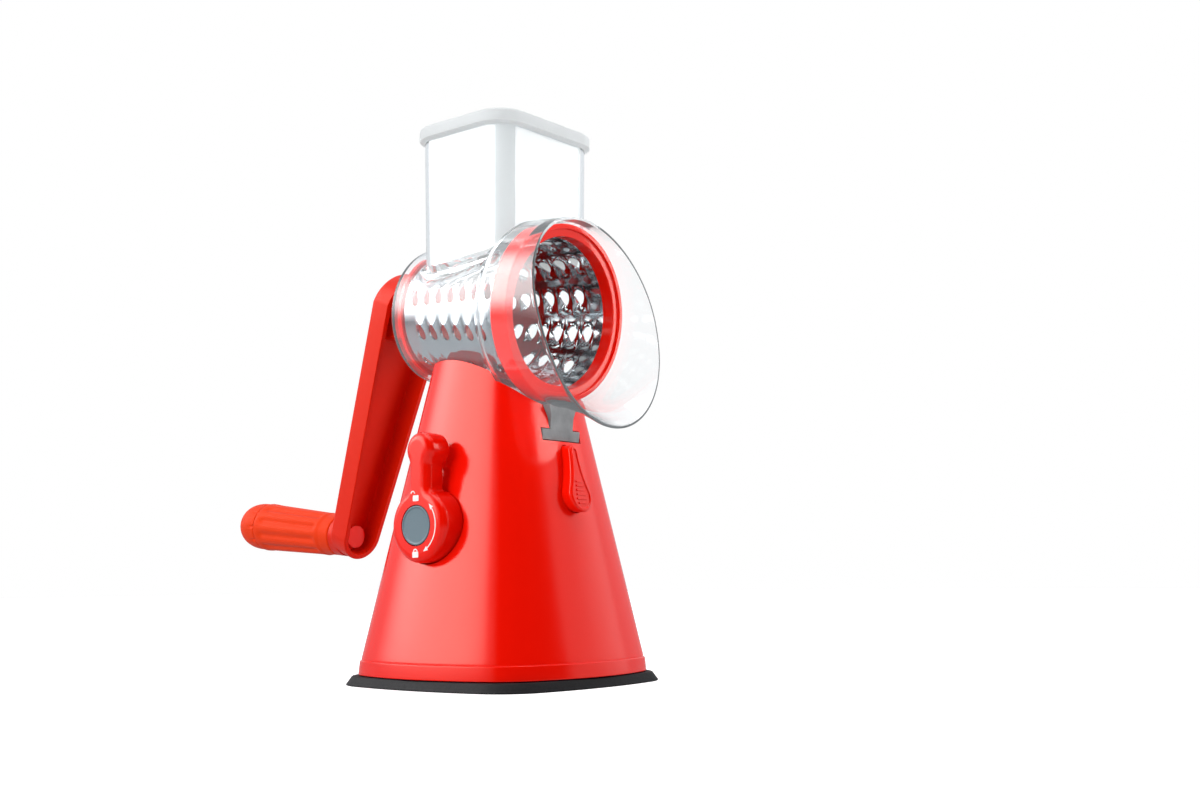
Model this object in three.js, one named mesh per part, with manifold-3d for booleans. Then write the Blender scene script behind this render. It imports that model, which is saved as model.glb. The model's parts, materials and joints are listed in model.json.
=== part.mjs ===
// Table-top rotary cheese grater: a suction-footed stand, a clear drum housing with a feed
// hopper and pusher, a perforated steel drum and a crank with a turning grip.
// Millimetres, +Z up, origin in the middle of the sole. The drum's mouth faces -Y, the crank
// is at +Y and the suction lever is on the -X side.
import * as THREE from "three";
import { mergeVertices } from "three/addons/utils/BufferGeometryUtils.js";
import Module from "manifold-3d";

const wasm = await Module();
wasm.setup();

// ---------------------------------------------------------------- driving dimensions

// Clearances
const GAP = 0.3; // between pieces that touch
const RUNNING = 0.4; // between pieces that slide or turn
const BARREL_SEAT = 0.5; // barrel to saddle

// Stand: plan is a square with bowed sides. Half sizes are at the middle of a side.
const SOLE_PROUD = 1.8; // sole beyond the skirt
const SOLE_HEIGHT = 4.5;
const SOLE_CHAMFER = 2.6;
const SOLE_CORNER = 24;
const SOLE_BOW_SHARE = 3.2; // radius of its bowed sides over its half size
const SKIRT_HALF = 62.4;
const SKIRT_HEIGHT = 7.2;
const SKIRT_STEP = 1.1;
const STAND_TAPER = 0.212; // inward run of a side for each millimetre of height
const STAND_TOP_DROP = 23; // highest point of the stand, below the drum axis
const STAND_WALL = 2.6;
const CORNER_SHARE = 0.425; // corner radius over half size
const BOW_SHARE = 1.89; // radius of a bowed side over half size

// Drum axis
const AXIS_HEIGHT = 181.2; // above the table, over the origin
const AXIS_TILT = THREE.MathUtils.degToRad(5.8); // mouth lower than crank

// Drum, along its axis from the point over the origin: + is toward the crank
const CONE_FRONT = -34;
const CONE_REAR = 39.4;
const CONE_FRONT_R = 38.5;
const CONE_REAR_R = 30.4;
const CONE_WALL = 0.8;
const RING_FRONT = -42.3;
const RING_LENGTH = 9.8;
const RING_R = 43.1;
const RING_BORE_R = 36.9;
const RING_LIP_R = 40.6;
const RING_DISH = 1.2;
const PLATE_R = 31.6;
const PLATE_THICK = 2.5;
const COLLAR_R = 12.4;
const COLLAR_LENGTH = 8.2;
const SHAFT_SIDE = 18.3; // its corners are turned down to pass the housing's bearing
const SHAFT_LENGTH = 17.3;
const SHAFT_WALL = 3;
const WINDOW_SIDE = 5.5;
const HOLE_ROWS = 12;
const FIRST_ROW = 1.257; // place of the first row, in rows round from the top
const HOLES_PER_ROW = 7;
const HOLE_PITCH = 9.2;
const HOLE_R = 3.2;
const TOOTH_HEIGHT = 1.9;

// Housing
const HOUSING_WALL = 2;
const BARREL_REAR_GAP = 0.6; // end plate to rear wall
const BARREL_REAR_R = 34.8;
const BARREL_TAPER = 0.1166;
const BARREL_STEP_AT = -22;
const BARREL_STEP_LENGTH = 4;
const BARREL_RING_GAP = 0.9;
const GUARD_TOP = 5.2; // rim beyond the ring's face, at the top
const GUARD_BOTTOM = 33.9; // and at the bottom
const GUARD_SPREAD = 9.3; // how far the lower lip drops
const HOPPER_HALF_X = 35;
const HOPPER_HALF_Y = 30;
const HOPPER_CENTRE_Y = -1.6;
const HOPPER_RISE = 86.1; // rim above the drum axis
const HOPPER_CORNER = 13;
const HOPPER_DRAFT = 0.011;
const PLINTH_RISE = 21.8;
const PLINTH_HEIGHT = 16;
const PLINTH_STEP = 1.8;

// Mounting rail under the housing, in a slot of the stand
const RAIL_BOTTOM = -61.9; // from the drum axis
const RAIL_FOOT_THICK = 5.1;
const RAIL_FOOT_HALF = 13.6;
const RAIL_WEB_HALF = 8.2;
const RAIL_FLARE = 1.6;
const RAIL_RECESS = 0.7; // front end behind the stand's face, before the tilt
const RAIL_NOSE = 6.2; // and how far it goes on, to be flush once tilted
const RAIL_LENGTH = 44;
const RAIL_BLOCK_WALL = 3.2;

// Pusher
const PUSHER_WALL = 2;
const PUSHER_SIDE_GAP = 0.7;
const PUSHER_TOOTH_GAP = 3;
const CAP_OVERHANG = 2.7;
const CAP_THICK = 7.1;
const CAP_SPIGOT = 4;

// Crank
const ARM_FACE = 63.5; // open face at the hub, along the axis
const ARM_SLANT = THREE.MathUtils.degToRad(13.3);
const ARM_LENGTH = 121.7;
const ARM_HUB_R = 21.5;
const ARM_END_R = 12.3;
const ARM_DEPTH = 13;
const ARM_WALL = 2.7;
const SOCKET_WALL = 3.1;
const GRIP_END = 98.3; // tip, from the arm's open face
const GRIP_R = 13;
const GRIP_NECK_R = 11;
const GRIP_CAP_LENGTH = 20;
const GRIP_BOSS_END = 16.6;
const SPINDLE_R = 3.1;
const SPINDLE_HEAD_R = 6;
const SPINDLE_LENGTH = 66;

// Suction lever and lift
const LEVER_RISE = 12.2; // above the middle between the floor and the rail block
const LEVER_PROUD = 11.5; // front of the knob beyond the side of the stand
const KNOB_R = 17.3;
const KNOB_THICK = 13.7;
const HANDLE_THICK = 11.3;
const HANDLE_NECK = 6.3;
const HANDLE_BULB = 8.3;
const HANDLE_TIP = 43.5; // from the lever's axis
const BULB_DEEPER = 2.6; // tip of the handle beyond the back of its neck
const LEVER_CAP_R = 9.15;
const LEVER_CAP_THICK = 2.2;
const CAM_R = 6;
const CAM_PIN_R = 3.5;
const CAM_TAIL_R = 3.2;
const LIFT = 4;
const YOKE_HALF_X = 7;
const STUD_R = 5;
const STUD_DISC_R = 30;
const STUD_DISC_THICK = 2;
const STUD_COLLAR_R = 10;
const STUD_COLLAR_DROP = 43.5; // below the lever's axis
const STUD_COLLAR_THICK = 3;
const PAD_WEB = 2.2;
const FLOOR_Z = 10;
const FLOOR_THICK = 2.5;
const BRACKET_WALL = 2.7;
const BRACKET_HALF_Y = 9;
const BRACKET_BAR_DROP = 24.5; // below the lever's axis
const FOOT_SCREW_INSET = 16; // from the casing's corner, along the diagonal

// Release button and latch
const BUTTON_DROP = 2.6; // centre of the narrow round end below the rail block
const BUTTON_LENGTH = 21.2; // between the centres of the two round ends
const BUTTON_LOW_R = 7.8;
const BUTTON_HIGH_R = 3.2;
const BUTTON_JOIN = THREE.MathUtils.degToRad(24); // where its sides meet the wide round end
const BUTTON_PULL = 6; // how long the sides keep their direction at each end
const BUTTON_PROUD = 5.5;
const BUTTON_TRAVEL = 3;
const BUTTON_FLANGE = 1.6; // lip that keeps the button in
const BOLT_HALF_X = 4;
const BOLT_SETBACK = 16.8; // behind the rail's front end
const BOLT_HALF_Y = 3;
const BOLT_LENGTH = 25.5; // below the rail
const BOLT_BITE = 2.4; // how far the bolt enters the rail
const RAMP_RISE = 5; // foot of the ramp above the bolt's foot
const RAMP_RUN = 6;

// Rings and arcs are cut into this many flats
const ROUND = 40;
const SMALL_ROUND = 16;
const SCREW_ROUND = 8;
const CONE_ROUND = 24;

// ---------------------------------------------------------------- shape helpers

const AXES = {
  x: new THREE.Matrix4().makeBasis(
    new THREE.Vector3(0, 1, 0), new THREE.Vector3(0, 0, 1), new THREE.Vector3(1, 0, 0)),
  y: new THREE.Matrix4().makeBasis(
    new THREE.Vector3(1, 0, 0), new THREE.Vector3(0, 0, 1), new THREE.Vector3(0, -1, 0)),
};

// A closed geometry as a solid that can be joined and cut
function solid(geometry) {
  const bare = geometry.clone();
  bare.deleteAttribute("normal");
  bare.deleteAttribute("uv");
  const merged = mergeVertices(bare, 1e-4);
  const mesh = new wasm.Mesh({
    numProp: 3,
    vertProperties: new Float32Array(merged.attributes.position.array),
    triVerts: new Uint32Array(merged.index.array),
  });
  return new wasm.Manifold(mesh);
}

function geometryOf(body) {
  const mesh = body.getMesh();
  const geometry = new THREE.BufferGeometry();
  geometry.setAttribute("position", new THREE.BufferAttribute(mesh.vertProperties, 3));
  geometry.setIndex(new THREE.BufferAttribute(mesh.triVerts, 1));
  geometry.computeVertexNormals();
  return geometry;
}

const join = (...bodies) => bodies.reduce((whole, next) => whole.add(next));
const cut = (body, ...tools) => tools.reduce((whole, next) => whole.subtract(next), body);

function block(x0, x1, y0, y1, z0, z1) {
  const box = new THREE.BoxGeometry(x1 - x0, y1 - y0, z1 - z0);
  box.translate((x0 + x1) / 2, (y0 + y1) / 2, (z0 + z1) / 2);
  return solid(box);
}

// A prism whose outline lies across the named axis, from one place on that axis to another
function prism(outline, axis, start, end) {
  const options = { depth: end - start, bevelEnabled: false, curveSegments: 6 };
  const body = new THREE.ExtrudeGeometry(outline, options);
  if (axis === "x") body.applyMatrix4(AXES.x).translate(start, 0, 0);
  if (axis === "y") body.applyMatrix4(AXES.y).translate(0, end, 0);
  if (axis === "z") body.translate(0, 0, start);
  return solid(body);
}

// A cylinder along the named axis; centre is its place on the other two axes, in order
function rod(radius, axis, start, end, centre = [0, 0], sides = SMALL_ROUND) {
  const body = new THREE.CylinderGeometry(radius, radius, end - start, sides);
  const middle = (start + end) / 2;
  if (axis === "x") body.rotateZ(Math.PI / 2).translate(middle, centre[0], centre[1]);
  if (axis === "y") body.translate(centre[0], middle, centre[1]);
  if (axis === "z") body.rotateX(Math.PI / 2).translate(centre[0], centre[1], middle);
  return solid(body);
}

// A body turned about Y from a profile of [radius, y] points that goes up the outside
function turned(profile, sides = ROUND) {
  const points = profile.map(([radius, y]) => new THREE.Vector2(radius, y));
  return new THREE.LatheGeometry(points, sides);
}

// A ring turned about Y: its profile closes on itself
function turnedRing(profile, sides = ROUND) {
  return turned([...profile, profile[0]], sides);
}

function polygon(points) {
  return new THREE.Shape(points.map(([a, b]) => new THREE.Vector2(a, b)));
}

// How far the corner arcs' centres are from both middle lines of a bowed square
function bowedCorner(half, corner, bow) {
  const rise = bow - half;
  const reach = bow - corner;
  return (Math.sqrt(2 * reach * reach - rise * rise) - rise) / 2;
}

// Square with bowed sides and tangent round corners
function bowedSquare(half, corner, bow) {
  const rise = bow - half;
  const centre = bowedCorner(half, corner, bow);
  const turn = Math.atan2(centre + rise, centre);
  const shape = new THREE.Shape();
  for (let side = 0; side < 4; side += 1) {
    const facing = (side * Math.PI) / 2;
    const lean = Math.PI / 2 - turn;
    const ahead = new THREE.Vector2(Math.cos(facing), Math.sin(facing));
    const across = new THREE.Vector2(-ahead.y, ahead.x);
    const sideCentre = ahead.clone().multiplyScalar(-rise);
    const cornerCentre = ahead.clone().add(across).multiplyScalar(centre);
    shape.absarc(sideCentre.x, sideCentre.y, bow, facing - lean, facing + lean, false);
    shape.absarc(cornerCentre.x, cornerCentre.y, corner, facing + lean, facing + turn, false);
  }
  return shape;
}

function roundedRectangle(halfX, halfY, corner) {
  const shape = new THREE.Shape();
  const quarter = Math.PI / 2;
  shape.absarc(halfX - corner, halfY - corner, corner, 0, quarter, false);
  shape.absarc(corner - halfX, halfY - corner, corner, quarter, 2 * quarter, false);
  shape.absarc(corner - halfX, corner - halfY, corner, 2 * quarter, 3 * quarter, false);
  shape.absarc(halfX - corner, corner - halfY, corner, 3 * quarter, 4 * quarter, false);
  return shape;
}

// Outline round two circles on a vertical line, the lower one at -length
function strap(upperRadius, lowerRadius, length) {
  const lean = Math.asin((upperRadius - lowerRadius) / length);
  const shape = new THREE.Shape();
  shape.absarc(0, 0, upperRadius, lean, Math.PI - lean, false);
  shape.absarc(0, -length, lowerRadius, Math.PI - lean, 2 * Math.PI + lean, false);
  return shape;
}

// An upright prism whose plan is scaled by topScale at its top
function tapered(outline, bottom, top, topScale, centreY = 0) {
  const options = { depth: top - bottom, bevelEnabled: false, curveSegments: 4 };
  const body = new THREE.ExtrudeGeometry(outline, options);
  const place = body.attributes.position;
  for (let i = 0; i < place.count; i += 1) {
    const share = 1 + (topScale - 1) * (place.getZ(i) / (top - bottom));
    place.setXYZ(i, place.getX(i) * share, place.getY(i) * share + centreY, place.getZ(i));
  }
  body.translate(0, 0, bottom);
  return solid(body);
}

// A coil spring standing along Z
function coilSpring(radius, wire, bottom, top, turns) {
  class Helix extends THREE.Curve {
    getPoint(t, target = new THREE.Vector3()) {
      const angle = 2 * Math.PI * turns * t;
      const height = bottom + wire + (top - bottom - 2 * wire) * t;
      return target.set(radius * Math.cos(angle), radius * Math.sin(angle), height);
    }
  }
  const section = new THREE.Shape();
  section.absarc(0, 0, wire, 0, 2 * Math.PI, false);
  const options = { steps: turns * 8, extrudePath: new Helix(), curveSegments: 3 };
  return solid(new THREE.ExtrudeGeometry(section, { ...options, bevelEnabled: false }));
}

function screw(headRadius, headHeight, shankRadius, length, headAt, centre, direction) {
  const away = direction === "up" ? 1 : -1;
  const headEnd = headAt - away * headHeight;
  const tip = headAt + away * length;
  const head = rod(headRadius, "z", Math.min(headAt, headEnd), Math.max(headAt, headEnd), centre, 10);
  const ends = [Math.min(headEnd, tip), Math.max(headEnd, tip)];
  const shank = rod(shankRadius, "z", ends[0], ends[1], centre, SCREW_ROUND);
  return join(head, shank);
}

// ---------------------------------------------------------------- materials

const plastic = (color, roughness) => new THREE.MeshStandardMaterial({ color, roughness });
const metal = (color, roughness) =>
  new THREE.MeshStandardMaterial({ color, roughness, metalness: 1 });
const clear = () =>
  new THREE.MeshStandardMaterial({ color: 0xdfe8ee, roughness: 0.05, opacity: 0.35, transparent: true });
const RED = 0xe8241a;
const GRIP_RED = 0xee3a22;
const BLACK = 0x262c31;
const GREY = 0x7d8f9a;
const MILK = 0xf2f5f6;
const STEEL = 0xd5d9dc;
const ZINC = 0xb9bdc0;
const NYLON = 0xe9e6dd;

function piece(name, body, material) {
  const mesh = new THREE.Mesh(geometryOf(body), material);
  mesh.name = name;
  return mesh;
}

// ---------------------------------------------------------------- frames

// The drum line: local Y runs back along the drum axis and local Z is up from it
const drumLine = new THREE.Matrix4()
  .makeTranslation(0, 0, AXIS_HEIGHT)
  .multiply(new THREE.Matrix4().makeRotationX(AXIS_TILT));
// The arm, on the drum line: local Z runs up the arm and local Y is toward its closed back
const armPlace = new THREE.Matrix4()
  .makeTranslation(0, ARM_FACE, 0)
  .multiply(new THREE.Matrix4().makeRotationX(ARM_SLANT));

function moved(body, matrix) {
  return body.transform(matrix.elements);
}

// ---------------------------------------------------------------- stand

const soleHalf = SKIRT_HALF + SOLE_PROUD;
const skirtBottom = SOLE_HEIGHT + GAP;
const skirtTop = SOLE_HEIGHT + SKIRT_HEIGHT;
const standTop = AXIS_HEIGHT - STAND_TOP_DROP;
const standFoot = SKIRT_HALF - SKIRT_STEP;
const standHalf = (z) => standFoot - STAND_TAPER * (z - skirtTop);
const bowed = (half) => bowedSquare(half, half * CORNER_SHARE, half * BOW_SHARE);

function standForm(inset, bottom, top) {
  const low = standHalf(bottom) - inset;
  return tapered(bowed(low), bottom, top, (standHalf(top) - inset) / low);
}

const barrelRear = CONE_REAR + GAP + PLATE_THICK + BARREL_REAR_GAP + HOUSING_WALL;
const barrelBigR = RING_R + BARREL_RING_GAP + HOUSING_WALL;
const barrelR = (y) => BARREL_REAR_R + BARREL_TAPER * (barrelRear - y);
const guardStart = RING_FRONT;

// Outside of the barrel and guard grown by a distance, as a profile up the axis.
// The guard runs from guardStart to one unit ahead of it, until its rim is placed, and a
// tool that opens the guard runs on past the rim.
function barrelProfile(grow, rear, past = 0) {
  const stepFront = BARREL_STEP_AT - BARREL_STEP_LENGTH;
  return [
    [0, guardStart - 1 - past],
    [barrelBigR + grow, guardStart - 1 - past],
    [barrelBigR + grow, guardStart - 0.999],
    [barrelBigR + grow, guardStart - 0.66],
    [barrelBigR + grow, guardStart - 0.33],
    [barrelBigR + grow, guardStart],
    [barrelBigR + grow, stepFront],
    [barrelR(BARREL_STEP_AT) + grow, BARREL_STEP_AT],
    [barrelR(rear) + grow, rear],
    [0, rear],
  ];
}

// Draws the guard out to its slanting rim, which reaches furthest and spreads at the bottom
function drawGuard(geometry) {
  const place = geometry.attributes.position;
  for (let i = 0; i < place.count; i += 1) {
    const ahead = guardStart - place.getY(i);
    if (ahead > 0) {
      const x = place.getX(i);
      const z = place.getZ(i);
      const radius = Math.hypot(x, z);
      const down = radius > 0 ? -z / radius : 0;
      const middle = (GUARD_TOP + GUARD_BOTTOM) / 2;
      const reach = middle + ((GUARD_BOTTOM - GUARD_TOP) / 2) * (radius > 0 ? down : 0);
      const lip = GUARD_SPREAD * Math.max(0, down) ** 2 * ahead ** 1.6;
      const share = radius > 0 ? (radius + lip) / radius : 1;
      place.setXYZ(i, x * share, guardStart - ahead * reach, z * share);
    }
  }
  return geometry;
}

// The saddle: the barrel's outside with room round it, and the guard's
function saddleForm(grow) {
  const rear = barrelRear + GAP;
  const front = guardStart - GUARD_BOTTOM;
  const profile = barrelProfile(grow, rear).slice(5);
  const straight = solid(turned([[0, front], [barrelBigR + grow, front], ...profile]));
  const guard = solid(drawGuard(turned(barrelProfile(grow, rear, 0.3))));
  return moved(join(straight, guard), drumLine);
}

// Outline of the rail across the drum axis, grown by a distance; its top is in the barrel
function railOutline(grow) {
  const footTop = RAIL_BOTTOM + RAIL_FOOT_THICK + grow;
  const flareTop = -barrelBigR;
  const top = RAIL_BOTTOM + 26;
  const half = [
    [RAIL_FOOT_HALF + grow, RAIL_BOTTOM - grow],
    [RAIL_FOOT_HALF + grow, footTop],
    [RAIL_WEB_HALF + grow, footTop],
    [RAIL_WEB_HALF + grow, flareTop - 3 * RAIL_FLARE],
    [RAIL_WEB_HALF + RAIL_FLARE + grow, flareTop],
    [RAIL_WEB_HALF + RAIL_FLARE + grow, top],
  ];
  return polygon([...half, ...half.map(([x, z]) => [-x, z]).reverse()]);
}

const railFront = RAIL_RECESS - standHalf(AXIS_HEIGHT + RAIL_BOTTOM);
const railEnd = railFront + RAIL_LENGTH;
const boltY = railFront + BOLT_SETBACK;
const blockBottom = AXIS_HEIGHT + RAIL_BOTTOM * Math.cos(AXIS_TILT)
  + railFront * Math.sin(AXIS_TILT) - RUNNING - RAIL_BLOCK_WALL;
// Underside of the rail's foot, over the bolt
const boltSeat = AXIS_HEIGHT + RAIL_BOTTOM * Math.cos(AXIS_TILT) + boltY * Math.sin(AXIS_TILT);
const floorTop = FLOOR_Z + FLOOR_THICK;
const floorHalf = standHalf(floorTop);
const cornerReach = bowedCorner(floorHalf, floorHalf * CORNER_SHARE, floorHalf * BOW_SHARE)
  * Math.SQRT2 + floorHalf * CORNER_SHARE;
const footScrewAt = (cornerReach - FOOT_SCREW_INSET) / Math.SQRT2;
const footScrewSpots = [[-1, -1], [1, -1], [1, 1], [-1, 1]].map(([x, y]) => [
  x * footScrewAt,
  y * footScrewAt,
]);
const leverHeight = (floorTop + blockBottom) / 2 + LEVER_RISE;
const leverFace = -standHalf(leverHeight) - LEVER_PROUD;
const knobBack = leverFace + KNOB_THICK;
const buttonHigh = blockBottom - BUTTON_DROP;
const buttonLow = buttonHigh - BUTTON_LENGTH;
const footScrewR = 1.6;
const pocketFloor = knobBack + RUNNING;

function teardrop(grow) {
  const high = BUTTON_HIGH_R + grow;
  const low = BUTTON_LOW_R + grow;
  const shape = new THREE.Shape();
  const joinX = low * Math.cos(BUTTON_JOIN);
  const joinZ = buttonLow + low * Math.sin(BUTTON_JOIN);
  const pullX = joinX - BUTTON_PULL * Math.sin(BUTTON_JOIN);
  const pullZ = joinZ + BUTTON_PULL * Math.cos(BUTTON_JOIN);
  shape.absarc(0, buttonHigh, high, 0, Math.PI, false);
  shape.bezierCurveTo(-high, buttonHigh - BUTTON_PULL, -pullX, pullZ, -joinX, joinZ);
  shape.absarc(0, buttonLow, low, Math.PI - BUTTON_JOIN, 2 * Math.PI + BUTTON_JOIN, false);
  shape.bezierCurveTo(pullX, pullZ, high, buttonHigh - BUTTON_PULL, high, buttonHigh);
  return shape;
}

// Leans a body that was made upright so that it follows the sloping front face
function leaned(body) {
  return body.transform([1, 0, 0, 0, 0, 1, 0, 0, 0, STAND_TAPER, 1, 0, 0, 0, 0, 1]);
}

// Where the front face would be at table height
const faceAtTable = -standFoot - STAND_TAPER * skirtTop;

function makeBaseBody() {
  const skirtShape = bowed(SKIRT_HALF);
  const skirt = tapered(skirtShape, skirtBottom, skirtTop, 1 - 0.6 / SKIRT_HALF);
  const outside = join(skirt, standForm(0, skirtTop - 1, standTop));
  const within = standForm(STAND_WALL / 2, skirtBottom, standTop);
  const cavityTop = AXIS_HEIGHT - barrelR(0) + 4;
  const hollow = standForm(STAND_WALL, skirtBottom - 1, cavityTop);
  const shell = cut(outside, hollow);
  const saddleFloor = saddleForm(BARREL_SEAT + STAND_WALL).intersect(within);
  const railBlock = block(
    -RAIL_FOOT_HALF - RUNNING - RAIL_BLOCK_WALL, RAIL_FOOT_HALF + RUNNING + RAIL_BLOCK_WALL,
    -SKIRT_HALF, railEnd + RUNNING + RAIL_BLOCK_WALL, blockBottom, cavityTop,
  ).intersect(within);
  const leverSpot = [0, leverHeight];
  const leverBoss = rod(KNOB_R + 3, "x", -SKIRT_HALF, pocketFloor + STAND_WALL, leverSpot, ROUND)
    .intersect(within);
  const bearing = rod(CAM_R + 3, "x", pocketFloor, pocketFloor + 8, leverSpot);
  const bosses = footScrewSpots.map((spot) =>
    rod(4.5, "z", floorTop + GAP, floorTop + 42, spot).intersect(within));
  const railSlot = moved(
    prism(railOutline(RUNNING), "y", railFront - 20, railEnd + RUNNING), drumLine);
  const boltHole = block(
    -BOLT_HALF_X - RUNNING, BOLT_HALF_X + RUNNING, boltY - BOLT_HALF_Y - RUNNING,
    boltY + BOLT_HALF_Y + RUNNING, blockBottom - 1, boltSeat);
  const buttonHole = leaned(prism(teardrop(RUNNING), "y", faceAtTable - 3, faceAtTable + 8));
  const flangeRoom = leaned(prism(
    teardrop(BUTTON_FLANGE + RUNNING), "y", faceAtTable + STAND_WALL + 0.2,
    faceAtTable + STAND_WALL + 3 + BUTTON_TRAVEL));
  return cut(
    join(shell, saddleFloor, railBlock, leverBoss, bearing, ...bosses),
    saddleForm(BARREL_SEAT),
    railSlot,
    boltHole,
    buttonHole,
    flangeRoom,
    rod(KNOB_R + RUNNING, "x", -SKIRT_HALF - 5, pocketFloor, leverSpot, ROUND),
    rod(CAM_R + RUNNING, "x", -SKIRT_HALF, 0, leverSpot),
    ...footScrewSpots.map((spot) => rod(footScrewR + GAP, "z", FLOOR_Z, floorTop + 14, spot, SCREW_ROUND)),
    ...guideScrewSpots.map((spot) =>
      rod(footScrewR + GAP, "z", blockBottom - 1, blockBottom + 2.6, spot, SCREW_ROUND)),
  );
}

function makeSuctionPad() {
  const shape = bowedSquare(soleHalf, SOLE_CORNER, soleHalf * SOLE_BOW_SHARE);
  const slab = tapered(shape, 0, SOLE_HEIGHT, 1 - SOLE_CHAMFER / soleHalf);
  const beadHalf = SKIRT_HALF - STAND_WALL - 2;
  const bead = tapered(bowed(beadHalf), SOLE_HEIGHT - 1, SOLE_HEIGHT + 3, 1);
  const beadInside = tapered(bowed(beadHalf - 3), SOLE_HEIGHT, SOLE_HEIGHT + 4, 1);
  const well = rod(STUD_DISC_R + 4, "z", PAD_WEB, SOLE_HEIGHT + 1, [0, 0], ROUND);
  return cut(join(slab, bead), beadInside, well);
}

function makeBasePlate() {
  const half = standHalf(floorTop) - STAND_WALL - 2 * GAP;
  const floor = tapered(bowed(half), FLOOR_Z, floorTop, 1);
  const guide = rod(STUD_R + RUNNING + 3, "z", FLOOR_Z, collarBottom - 3);
  return cut(
    join(floor, guide),
    rod(STUD_R + RUNNING, "z", FLOOR_Z - 1, collarBottom),
    ...footScrewSpots.map((spot) => rod(footScrewR + GAP, "z", 0, floorTop + 1, spot, SCREW_ROUND)),
    ...bracketScrewSpots.map((spot) => rod(footScrewR + GAP, "z", 0, floorTop + 1, spot, SCREW_ROUND)),
  );
}

// ---------------------------------------------------------------- suction lift

const bracketScrewSpots = [[0, -17.5], [0, 17.5]];
const yokeGap = YOKE_HALF_X + 3.8;
const camOffset = LIFT / Math.SQRT2; // a quarter turn from 45 below to 45 above the axis
const pinPlace = [camOffset * Math.SQRT1_2, leverHeight - camOffset * Math.SQRT1_2];
const discBottom = PAD_WEB + GAP;
const barBottom = leverHeight - BRACKET_BAR_DROP;
const collarBottom = leverHeight - STUD_COLLAR_DROP;
const barTop = barBottom + BRACKET_WALL;
const yokeBottom = pinPlace[1] - CAM_PIN_R - 9;
const studTop = yokeBottom + 5;

function makeAxleBracket() {
  const outerX = yokeGap + BRACKET_WALL;
  const bottom = floorTop + GAP;
  const top = leverHeight + CAM_R + 4;
  const flange = block(-outerX, outerX, -22, 22, bottom, bottom + BRACKET_WALL);
  const cheeks = [-1, 1].map((side) => block(
    Math.min(side * yokeGap, side * outerX), Math.max(side * yokeGap, side * outerX),
    -BRACKET_HALF_Y, BRACKET_HALF_Y, bottom, top));
  const bar = block(-outerX, outerX, -BRACKET_HALF_Y, BRACKET_HALF_Y, barBottom, barTop);
  return cut(
    join(flange, ...cheeks, bar),
    rod(STUD_R + RUNNING + 3 + GAP, "z", 0, bottom + 5),
    rod(STUD_R + RUNNING, "z", barBottom - 1, barTop + 1),
    rod(CAM_R + RUNNING, "x", -outerX - 1, 0, [0, leverHeight]),
    rod(CAM_TAIL_R + RUNNING, "x", 0, outerX + 1, [0, leverHeight]),
    ...bracketScrewSpots.map((spot) => rod(footScrewR + GAP, "z", 0, bottom + 5, spot, SCREW_ROUND)),
  );
}

function makeLiftStud() {
  return join(
    rod(STUD_DISC_R, "z", discBottom, discBottom + STUD_DISC_THICK, [0, 0], ROUND),
    rod(STUD_R, "z", discBottom, collarBottom + 1),
    rod(STUD_COLLAR_R, "z", collarBottom, collarBottom + STUD_COLLAR_THICK),
    rod(STUD_R - 0.8, "z", collarBottom, studTop),
  );
}

function makeLiftYoke() {
  const slotHalf = CAM_PIN_R + RUNNING;
  const slotFront = -CAM_TAIL_R - 2 * RUNNING;
  const slotRear = camOffset + CAM_PIN_R + 2 * RUNNING;
  const form = block(
    -YOKE_HALF_X, YOKE_HALF_X, slotFront - 3.5, slotRear + 3.5, yokeBottom, pinPlace[1] + slotHalf + 4);
  const slot = block(
    -YOKE_HALF_X - 1, YOKE_HALF_X + 1, slotFront, slotRear, pinPlace[1] - slotHalf, pinPlace[1] + slotHalf);
  return cut(form, slot, rod(STUD_R - 0.8 + GAP, "z", 0, studTop + GAP));
}

function makeCamShaft() {
  const spot = [0, leverHeight];
  const shoulder = YOKE_HALF_X + 2.4;
  return cut(
    join(
      rod(CAM_R, "x", shaftEnd, -shoulder, spot),
      rod(CAM_PIN_R, "x", -shoulder - 0.5, shoulder, pinPlace),
      rod(CAM_TAIL_R, "x", shoulder - 0.5, yokeGap + BRACKET_WALL + 2, spot),
    ),
    rod(leverScrewR + GAP, "x", shaftEnd - 1, shaftEnd + 13, spot, SCREW_ROUND),
  );
}

// ---------------------------------------------------------------- lever

const leverScrewR = 1.8;
const leverScrewHeadR = 4.4;
const capSeat = leverFace + LEVER_CAP_THICK + GAP;
const screwSeat = capSeat + 3.4;
const shaftEnd = screwSeat + 2.8;

function handleOutline() {
  const shape = new THREE.Shape();
  const bulbCentre = HANDLE_TIP - HANDLE_BULB;
  const root = KNOB_R - 3.5;
  shape.moveTo(-HANDLE_NECK - 1.5, leverHeight + root);
  shape.lineTo(HANDLE_NECK + 1.5, leverHeight + root);
  shape.lineTo(HANDLE_NECK, leverHeight + root + 6);
  shape.lineTo(HANDLE_NECK, leverHeight + bulbCentre - 7);
  shape.quadraticCurveTo(
    HANDLE_NECK, leverHeight + bulbCentre - 4, HANDLE_BULB, leverHeight + bulbCentre);
  shape.absarc(0, leverHeight + bulbCentre, HANDLE_BULB, 0, Math.PI, false);
  shape.quadraticCurveTo(
    -HANDLE_NECK, leverHeight + bulbCentre - 4, -HANDLE_NECK, leverHeight + bulbCentre - 7);
  shape.lineTo(-HANDLE_NECK, leverHeight + root + 6);
  return shape;
}

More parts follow.
